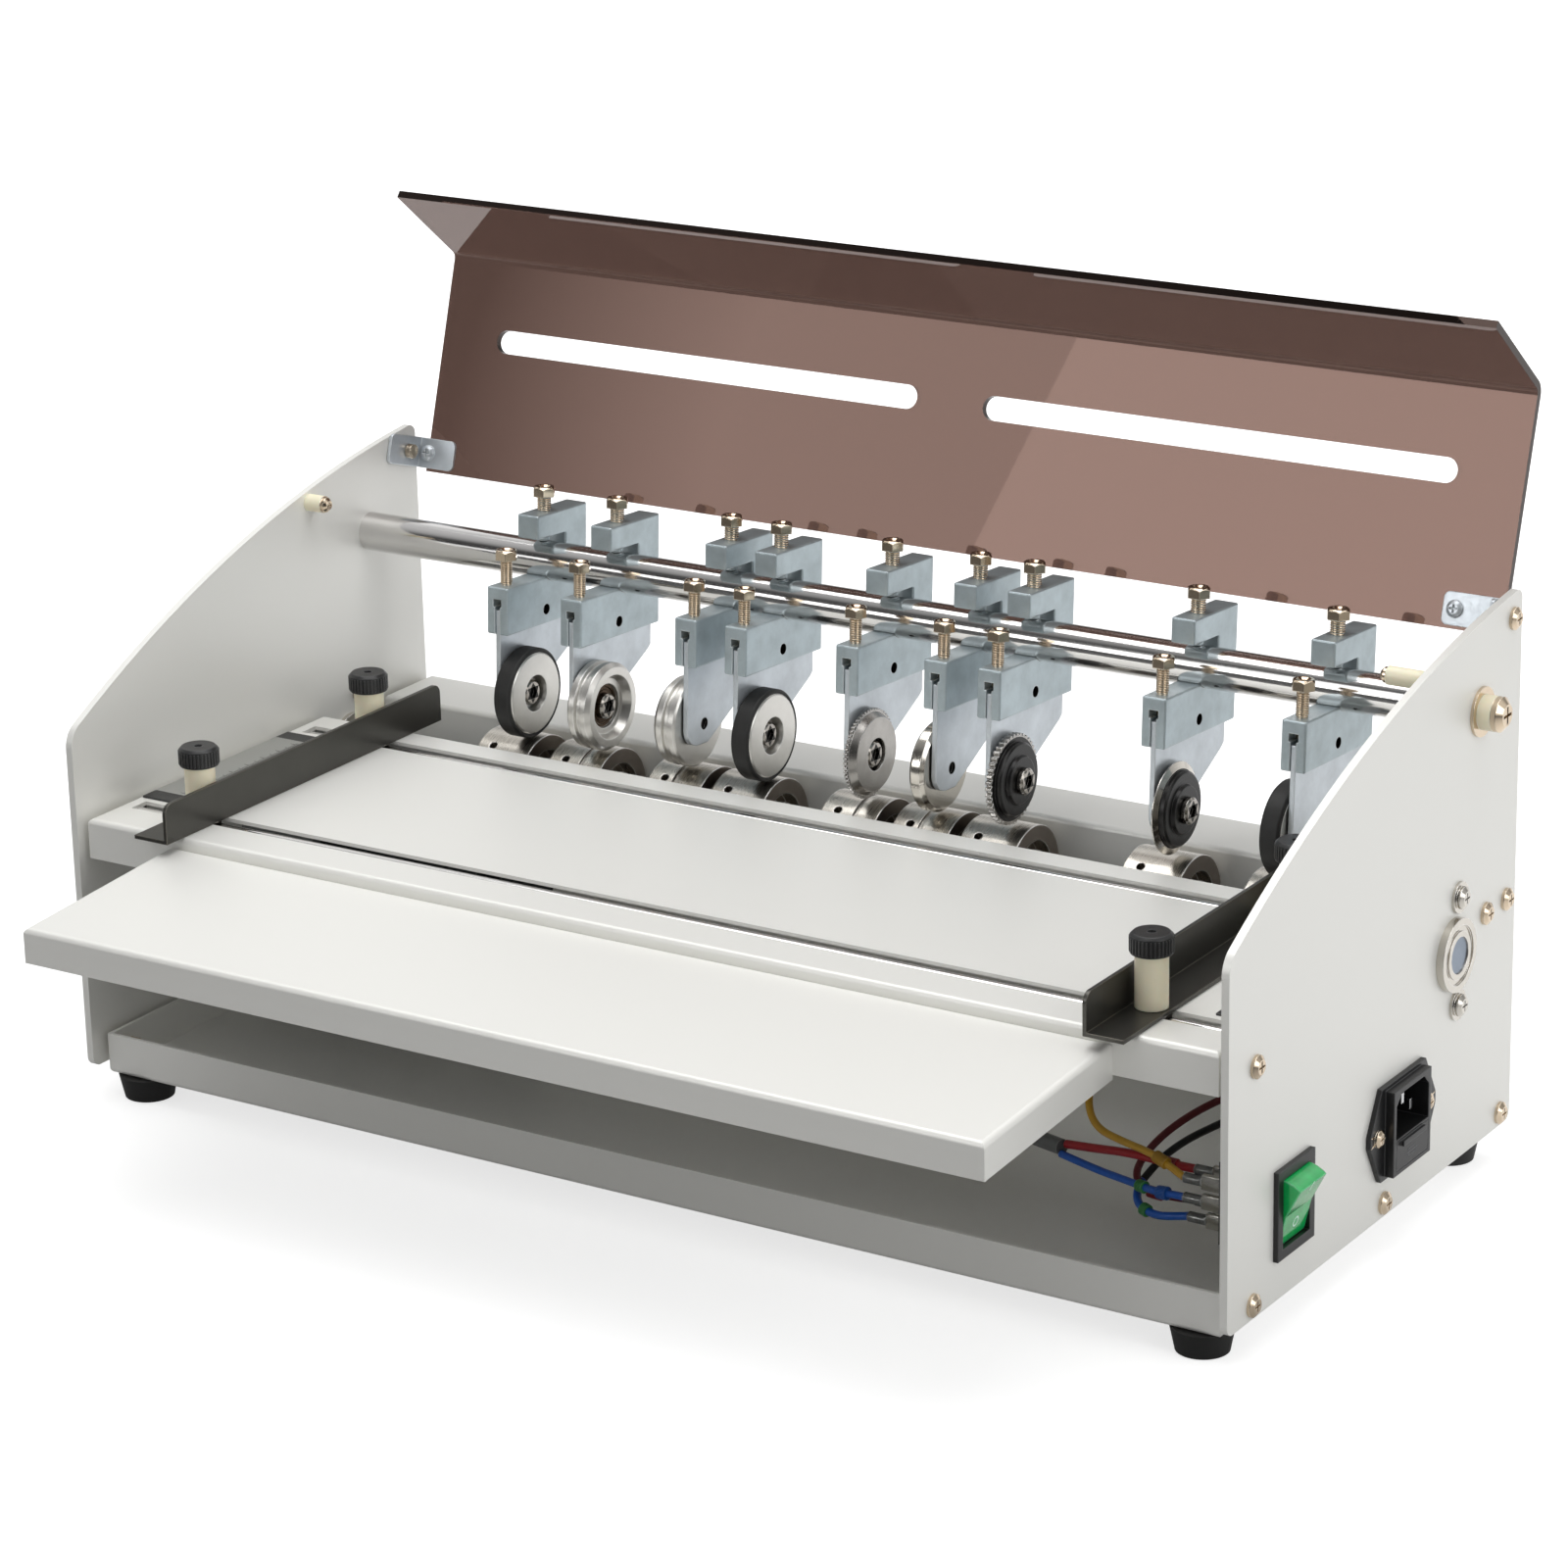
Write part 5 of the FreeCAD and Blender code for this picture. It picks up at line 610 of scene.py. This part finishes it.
class MACHINE_OT_tool_stations(Task):
    """Zinc holders and arms with nickel bolts, and the bolts' threads."""
    bl_idname = "machine.tool_stations"
    bl_label = "Holders, arms and bolts"

    def work(self, scene):
        sizes = scene.machine_sizes
        for name in NAMES:
            # The sunk pivot pin's faces are painted dark as shade, so the pivot bore reads as a dark hole.
            paint("holder_" + name, "holder_zinc", ("champagne_nickel", self.bolt_test(name)),
                  ("dark_steel", round_x(PIVOT, 0, PIVOT_PIN)))
            paint("arm_" + name, "arm_zinc", ("pin_steel", self.pin_test(name)),
                  ("dark_steel", round_x(WHEEL_AXIS, 0, WHEEL_BOLT)))
            self.threads(name, sizes)

    @staticmethod
    def bolt_test(name):
        """A test for the faces of the clamp bolt and the adjusting bolt."""
        def test(at, normal):
            x, y, z = upright(name, at)
            if z > CLAMP_SEAT + SKIN:
                return True
            reach = math.hypot(x, y - ADJUST_BACK)
            return reach < ADJUST_SHANK or reach < ADJUST_HEAD and z > ADJUST_SEAT + SKIN
        return test

    @staticmethod
    def pin_test(name):
        """A test for the faces of the wheel's pin, which stand off the arm."""
        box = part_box("arm_" + name)
        middle = STATION_X[name]

        def test(at, normal):
            near = math.hypot(at.y - WHEEL_AXIS[0], at.z - WHEEL_AXIS[1]) < WHEEL_PIN
            return near and abs(at.x - middle) > ARM_HALF and box[0].x <= at.x <= box[1].x
        return test

    @staticmethod
    def threads(name, sizes):
        """The threads that show on the station's two bolts."""
        ridge, pitch = sizes.thread_height, sizes.thread_pitch
        adjust = grown("screw_thread", "champagne_nickel", Radius=0.0021, Length=ADJUST_STAND - 0.0012, Pitch=pitch,
                       Ridge=ridge)
        clamp = grown("screw_thread", "champagne_nickel", Radius=0.0025, Length=CLAMP_STAND - 0.0006, Pitch=pitch,
                      Ridge=ridge)
        piece("bolt_threads_" + name, "holder_body_" + name,
              [(adjust, station(name, ADJUST_BACK, ADJUST_SEAT + 0.0006)),
               (clamp, station(name, 0, CLAMP_SEAT + 0.0003))], smooth=80)


class MACHINE_OT_wheels(Task):
    """Tyres, hubs, creasing wheels, perforating and cutting discs."""
    bl_idname = "machine.wheels"
    bl_label = "Wheels"

    def work(self, scene):
        for name in TYRES:
            paint("wheel_" + name, "turned_aluminium", ("rubber", round_x(WHEEL_AXIS, TYRE_SEAT, 1)))
        for name in CREASERS:
            paint("wheel_" + name, "turned_aluminium", ("bearing_bronze", round_x(WHEEL_AXIS, 0, BALL_BEARING)))
        paint("wheel_five", "tool_steel", ("dark_steel", round_x(WHEEL_AXIS, 0, HUB_BORE)))
        paint("wheel_six", "polished_steel")
        paint("wheel_seven", "tool_steel", ("black_oxide", round_x(WHEEL_AXIS, 0, HUB)))
        paint("wheel_eight", "polished_steel", ("black_oxide", round_x(WHEEL_AXIS, 0, HUB)))


class MACHINE_OT_cover(Task):
    """Smoked cover and its zinc brackets."""
    bl_idname = "machine.cover"
    bl_label = "Cover"

    def work(self, scene):
        tone = scene.machine_colours.smoke
        edge = acrylic_material("smoked_edge", tuple(part * 0.25 for part in tone[:3]) + (1.0,))
        paint("cover_panel", acrylic_material("smoked_acrylic", tone), (edge, lambda at, normal: abs(normal.x) > 0.5))
        paint("cover_brackets", "arm_zinc")


class MACHINE_OT_side_guides(Task):
    """Painted side guides and their knobs with ribbed caps."""
    bl_idname = "machine.side_guides"
    bl_label = "Side guides and knobs"

    def work(self, scene):
        sizes = scene.machine_sizes
        for node in ("left_guide", "right_guide"):
            paint(node, "guide_paint")
        for node in KNOBS:
            paint(node, "cream_nylon", ("black_moulding", lambda at, normal: at.z > CAP_FOOT - 0.0001))
            low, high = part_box(node)
            side, end, _ = node.split("_")
            ribs = grown("ring_of_ribs", "black_moulding", Count=sizes.rib_count, Radius=(high.x - low.x) / 2,
                         Size=(sizes.rib_width, sizes.rib_width, high.z - CAP_FOOT - 0.0022))
            middle = (low + high) / 2
            piece("cap_ribs_%s_%s" % (side, end), "knob_%s_%s" % (side, end),
                  [(ribs, move(middle.x, middle.y, (CAP_FOOT + high.z) / 2 - 0.0004))])


class MACHINE_OT_ruler_plates(Task):
    """Ruler plates with dark ends and printed marks."""
    bl_idname = "machine.ruler_plates"
    bl_label = "Ruler plates"

    def work(self, scene):
        sizes = scene.machine_sizes
        paint("ruler_plates", "ruler_foil",
              ("black_moulding", lambda at, normal: not RULER_Y[0] - 1e-5 <= at.y <= RULER_Y[1] + 1e-5))
        for name, side in RULERS.items():
            parts = []
            for every, reach in ((1, 0.0018), (5, 0.0028), (10, 0.0038)):
                start = side * RULER_SIDE - side * 0.0072 + side * reach / 2
                count = int((RULER_Y[1] - RULER_Y[0] - 0.004) / (sizes.mark_pitch * every)) + 1
                marks = grown("row_of_marks", "print_black", Size=(reach, sizes.mark_width, 0.00006), Count=count,
                              Start=(start, RULER_Y[0] + 0.002, RULER_TOP + 0.00002),
                              Step=(0.0, sizes.mark_pitch * every, 0.0))
                parts.append((marks, Matrix()))
            piece("ruler_marks_" + name, "frame", parts)


class MACHINE_OT_power_panel(Task):
    """Mains inlet, fuse drawer, switch and its rocker with their marks."""
    bl_idname = "machine.power_panel"
    bl_label = "Inlet and switch"

    def work(self, scene):
        def blade_test(at, normal):
            return BLADE_REACH[0] < at.x < BLADE_REACH[1] and any(
                abs(at.y - INLET[0] - across) < wide + SKIN and abs(at.z - INLET[1] - up) < tall + SKIN
                for across, up, wide, tall in BLADES)
        screws = [("champagne_nickel", round_x((INLET[0] + side * INLET_SCREW_SIDE, INLET[1]), 0, INLET_SCREW_RADIUS))
                  for side in (-1, 1)]
        paint("power_inlet", "black_moulding", ("bright_steel", blade_test),
              ("bright_steel", lambda at, normal: at.x < INLET_TABS), *screws)
        paint("fuse_drawer", "black_moulding")
        paint("power_switch", "black_moulding", ("tinned_brass", lambda at, normal: at.x < SWITCH_TABS))
        paint("switch_rocker", "green_lens")
        self.rocker_marks()
        self.fuse_mark()

    @staticmethod
    def rocker_marks():
        """A bar on the upper face of the rocker and a ring on its lower face."""
        parts = []
        for rise, mesh in ((0.0084, block((0.0009, 0.0042, 0.00012), "print_white")),
                           (-0.0062, ring(0.0014, 0.0021, 0.00008, "print_white"))):
            hit, at, normal, _ = NODES["switch_rocker"].ray_cast((0.3, SWITCH[0], SWITCH[1] + rise), (-1, 0, 0))
            if not hit:
                raise RuntimeError("the rocker has no face at %g" % rise)
            across = Vector((0, 1, 0))
            up = normal.cross(across).normalized()
            turn = Matrix((across, up, normal)).transposed().to_4x4()
            parts.append((mesh, Matrix.Translation(at) @ turn))
        piece("rocker_marks", "rocker", parts)

    @staticmethod
    def fuse_mark():
        """The outline of a fuse on the drawer's face."""
        low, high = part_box("fuse_drawer")
        at = move(high.x - 0.0012, (low.y + high.y) / 2, low.z + 0.0042)
        bars = [((0.0001, 0.009, 0.0004), (0, 0, 0)), ((0.0001, 0.006, 0.0003), (0, 0, 0.0013)),
                ((0.0001, 0.006, 0.0003), (0, 0, -0.0013)), ((0.0001, 0.0003, 0.0029), (0, 0.003, 0)),
                ((0.0001, 0.0003, 0.0029), (0, -0.003, 0))]
        piece("fuse_mark", "drawer",
              [(block(size, "print_grey"), at @ move(*shift)) for size, shift in bars])


LEADS = {
    "sleeve": (3, [(-129.7, 122.7, 52.7), (-100, 121, 50.5), (-55, 114, 44), (-8, 104, 37.5), (42, 92, 32),
                   (90, 81, 28), (128, 70.5, 26.4), (153, 62, 27.6)]),
    "earth": (1.4, [(221.2, 131.4, 46), (205, 127, 54), (184, 115, 60), (167, 95, 61), (158.5, 77, 55),
                    (161, 66, 45), (168, 60.5, 38.6), (182, 55, 38.4), (197, 49, 39.2), (206, 46, 37.2),
                    (212.6, 43.5, 35.5)]),
    "red": (1.6, [(154.1, 63.2, 28.6), (167, 60.6, 30.6), (182.5, 57, 33.6), (198, 53, 35.2), (206, 52.2, 35.2),
                  (212.8, 52, 35.5)]),
    "blue": (1.4, [(153.2, 60.7, 25.6), (169, 57, 24.4), (185.5, 52.5, 24.8), (200, 46, 26.3), (207, 44.5, 27.4),
                   (212.7, 43.5, 28)]),
    "maroon": (1.4, [(221.3, 126.4, 39), (212, 118, 42.4), (204, 106, 44.8), (194.5, 91, 41), (187.5, 78, 35.5),
                     (184.5, 66, 30), (185.5, 57, 25.6), (192, 52, 23.2), (202, 51.6, 22.6), (212.8, 52, 23.5)]),
    "black": (1.4, [(221.3, 136.4, 39), (212, 129, 38), (205, 114, 35), (198, 98, 33), (191.5, 82, 30.5),
                    (188, 68, 26.5), (186.5, 57.5, 21)]),
    "tail": (1.5, [(187.2, 60.5, 22.6), (186.5, 57.5, 21), (190, 50.5, 17.6), (199, 47, 16.6), (206, 46.8, 17.8),
                   (212.6, 47, 19.3)]),
}
TERMINALS = {"earth": (-4, 3), "red": (4.5, 3), "blue": (-4, -4.5), "maroon": (4.5, -9), "black": (-0.5, -13.2)}
COLLARS = [("red", 3, 2.3, 7, "insulation_red"), ("blue", 3, 2.5, 4.5, "collar_blue"),
           ("blue", 2, 2.3, 4, "collar_green"), ("earth", 8, 2.3, 6, "insulation_earth"),
           ("maroon", 7, 2.2, 6, "insulation_red"), ("tail", 2, 2.4, 3, "collar_green")]


def inside(x, depth, rise):
    """A point given in millimetres from the plates' front bottom corner."""
    return Vector((x / 1000, PLATE_FRONT + depth / 1000, PLATE_FOOT + rise / 1000))


class MACHINE_OT_leads(Task):
    """Leads between motor, inlet and switch, with their terminals and collars."""
    bl_idname = "machine.leads"
    bl_label = "Leads"

    def work(self, scene):
        for name, (radius, points) in LEADS.items():
            self.lead(name, radius / 1000, [inside(*point) for point in points])
        parts = []
        for across, up in TERMINALS.values():
            at = move(*inside(0, 47.5 + across, 32.5 + up))
            parts.append((block((0.009, 0.0026, 0.0058), "tinned_brass", 0.0006), at @ move(0.2245, 0, 0)))
            parts.append((tube(0.0019, 0.0074, "clear_sleeve", 0.0003),
                          at @ move(0.2166, 0, 0) @ Matrix.Rotation(math.pi / 2, 4, "Y")))
        for name, number, radius, tall, colour in COLLARS:
            start, stop = (inside(*LEADS[name][1][index]) for index in (number, number + 1))
            turn = (stop - start).to_track_quat("Z", "Y").to_matrix().to_4x4()
            parts.append((tube(radius / 1000, tall / 1000, colour, 0.0003),
                          Matrix.Translation((start + stop) / 2) @ turn))
        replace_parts(piece("lead_terminals", "frame", parts), "wiring")

    @staticmethod
    def lead(name, radius, points):
        """One lead as a smooth curve."""
        data = bpy.data.curves.new("lead_" + name, "CURVE")
        data.dimensions = "3D"
        data.bevel_depth, data.bevel_resolution, data.resolution_u, data.use_fill_caps = radius, 4, 12, True
        spline = data.splines.new("NURBS")
        spline.points.add(len(points) - 1)
        for point, at in zip(spline.points, points):
            point.co = (*at, 1.0)
        spline.order_u, spline.use_endpoint_u = 3, True
        data.materials.append(finish("insulation_" + name))
        made = bpy.data.objects.new("lead_" + name, data)
        bpy.context.scene.collection.objects.link(made)
        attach(made, "frame")


class MACHINE_OT_studio(Task):
    """Pale floor, soft lights, room and camera."""
    bl_idname = "machine.studio"
    bl_label = "Studio"

    def work(self, scene):
        studio = scene.machine_studio
        scene.view_settings.view_transform = "Standard"
        self.camera(scene)
        self.floor(scene)
        self.room(scene, studio.room)
        self.softbox(scene, "key_light", studio.key, (4.0, -0.4, 1.9), 2.8)
        self.softbox(scene, "top_light", studio.top, (-0.1, 0.12, 1.9), 1.7)
        card = self.softbox(scene, "mirror_card", studio.card, (-0.395, -1.75, 1.0), 1.1, -0.31)
        card.visible_diffuse = False

    @staticmethod
    def camera(scene):
        """The camera at the operator's right, above the table."""
        yaw, pitch, roll = (math.radians(turn) for turn in (33.08, 18.73, -1.31))
        back = Vector((math.sin(yaw) * math.cos(pitch), -math.cos(yaw) * math.cos(pitch), math.sin(pitch)))
        right = Vector((math.cos(yaw), math.sin(yaw), 0))
        up = back.cross(right)
        level, tip = math.cos(roll), math.sin(roll)
        right, up = right * level + up * tip, up * level - right * tip
        camera = bpy.data.objects.new("camera", bpy.data.cameras.new("camera"))
        camera.data.lens, camera.data.sensor_width, camera.data.clip_end = 115.3, 36, 50
        camera.matrix_world = (move(0.9842, -1.4787, 0.7488)
                               @ Matrix((right, up, back)).transposed().to_4x4())
        scene.collection.objects.link(camera)
        scene.camera = camera

    @staticmethod
    def floor(scene):
        """A wide pale floor that keeps the machine's shadow."""
        made, wires = empty_tree(bpy.data.materials.new("pale_floor"))
        path = wires.add("ShaderNodeLightPath").outputs
        where = wires.add("ShaderNodeTexCoord").outputs["Object"]
        reach = wires.add("ShaderNodeVectorMath", (0, where), operation="LENGTH").outputs["Value"]
        lift = wires.add("ShaderNodeMapRange", (0, reach), (1, 0.4), (2, 1.3), (3, 0.7), (4, 1.0)).outputs[0]
        back = wires.add("ShaderNodeSeparateXYZ", (0, where)).outputs[1]
        dim = wires.add("ShaderNodeMapRange", (0, back), (1, -0.3), (2, 0.2), (3, 0.85), (4, 0.1)).outputs[0]
        tone = wires.blend(wires.math("MULTIPLY", dim, path["Is Glossy Ray"]), (0.58, 0.58, 0.58, 1),
                           (0.03, 0.03, 0.03, 1))
        seen = wires.math("MULTIPLY", path["Is Camera Ray"], lift)
        mirrored = wires.math("MULTIPLY", path["Is Glossy Ray"], wires.math("SUBTRACT", 0.65, dim, clamp=True))
        shader = wires.add("ShaderNodeBsdfPrincipled", ("Base Color", tone), ("Roughness", 0.7),
                           ("Specular IOR Level", 0.1), ("Emission Color", (1, 1, 1, 1)),
                           ("Emission Strength", wires.math("ADD", seen, mirrored)))
        wires.add("ShaderNodeOutputMaterial", (0, shader.outputs[0]))
        mesh = bpy.data.meshes.new("floor")
        corners = [(x * 8.0, y * 8.0, -0.0003) for x, y in ((-1, -1), (1, -1), (1, 1), (-1, 1))]
        mesh.from_pydata(corners, [], [(0, 1, 2, 3)])
        mesh.materials.append(made)
        floor = bpy.data.objects.new("floor", mesh)
        scene.collection.objects.link(floor)

    @staticmethod
    def room(scene, strength):
        """Even light; mirrors see bright bands behind the machine and a dim room with a soft sheen before it."""
        world, wires = empty_tree(bpy.data.worlds.new("room"))
        path = wires.add("ShaderNodeLightPath").outputs
        way = wires.add("ShaderNodeTexCoord").outputs["Generated"]
        parts = wires.add("ShaderNodeSeparateXYZ", (0, way)).outputs
        behind = wires.add("ShaderNodeMapRange", (0, parts[1]), (1, -0.6), (2, -0.1), (3, 0.08), (4, 1.0)).outputs[0]
        wave = wires.math("MULTIPLY", wires.math("COSINE", wires.math("MULTIPLY", parts[2], 10.1)), 0.34)
        near = wires.add("ShaderNodeVectorMath", (0, way), (1, (-0.461, -0.852, 0.25)), operation="DOT_PRODUCT")
        sheen = wires.add("ShaderNodeMapRange", (0, near.outputs["Value"]), (1, 0.9905), (2, 0.9965), (3, 0.0),
                          (4, 3.5)).outputs[0]
        mirrored = wires.math("ADD", wires.math("MULTIPLY", behind, wires.math("ADD", wave, 0.66)), sheen)
        through = wires.math("ADD", path["Is Glossy Ray"], path["Is Transmission Ray"], clamp=True)
        level = wires.add("ShaderNodeMix", (0, through), (2, strength), (3, mirrored)).outputs[0]
        level = wires.add("ShaderNodeMix", (0, path["Is Camera Ray"]), (2, level), (3, 1.0)).outputs[0]
        light = wires.add("ShaderNodeBackground", ("Color", (1, 1, 1, 1)), ("Strength", level))
        wires.add("ShaderNodeOutputWorld", (0, light.outputs[0]))
        scene.world = world

    @staticmethod
    def softbox(scene, name, power, place, side, roll=0.0):
        """A square soft light that faces the machine."""
        light = bpy.data.lights.new(name, "AREA")
        light.energy, light.size = power, side
        lamp = bpy.data.objects.new(name, light)
        aim = Vector((0, 0, 0.1)) - Vector(place)
        facing = aim.to_track_quat("-Z", "Y").to_matrix().to_4x4()
        lamp.matrix_world = move(*place) @ facing @ Matrix.Rotation(roll, 4, "Z")
        scene.collection.objects.link(lamp)
        return lamp


TASKS = (MACHINE_OT_studio, MACHINE_OT_leads, MACHINE_OT_sheet_metal, MACHINE_OT_bar_fittings,
         MACHINE_OT_rollers_and_drive, MACHINE_OT_tool_stations, MACHINE_OT_wheels, MACHINE_OT_cover,
         MACHINE_OT_side_guides, MACHINE_OT_ruler_plates, MACHINE_OT_power_panel)


class MACHINE_PT_panel(bpy.types.Panel):
    """Lists the machine's settings and steps."""
    bl_idname = "MACHINE_PT_panel"
    bl_label = "Creasing machine"
    bl_space_type = "VIEW_3D"
    bl_region_type = "UI"
    bl_category = "Creasing machine"

    def draw(self, context):
        """Show every setting, then a button for each step."""
        for group in (context.scene.machine_colours, context.scene.machine_sizes, context.scene.machine_studio):
            box = self.layout.box()
            for name in group.__annotations__:
                box.prop(group, name)
        for task in TASKS:
            self.layout.operator(task.bl_idname)


GROUPS = {"machine_colours": MachineColours, "machine_sizes": MachineSizes, "machine_studio": StudioSettings}
CLASSES = (*GROUPS.values(), *TASKS, MACHINE_PT_panel)


def register():
    """Register the classes and the scene's settings."""
    for item in CLASSES:
        bpy.utils.register_class(item)
    for name, group in GROUPS.items():
        setattr(bpy.types.Scene, name, PointerProperty(type=group))


def unregister():
    """Take away what register added."""
    for name in GROUPS:
        delattr(bpy.types.Scene, name)
    for item in reversed(CLASSES):
        bpy.utils.unregister_class(item)


def main():
    """Register the steps, then dress the machine with each of them."""
    register()
    for task in TASKS:
        getattr(bpy.ops.machine, task.bl_idname.split(".")[1])()


if __name__ == "__main__":
    main()
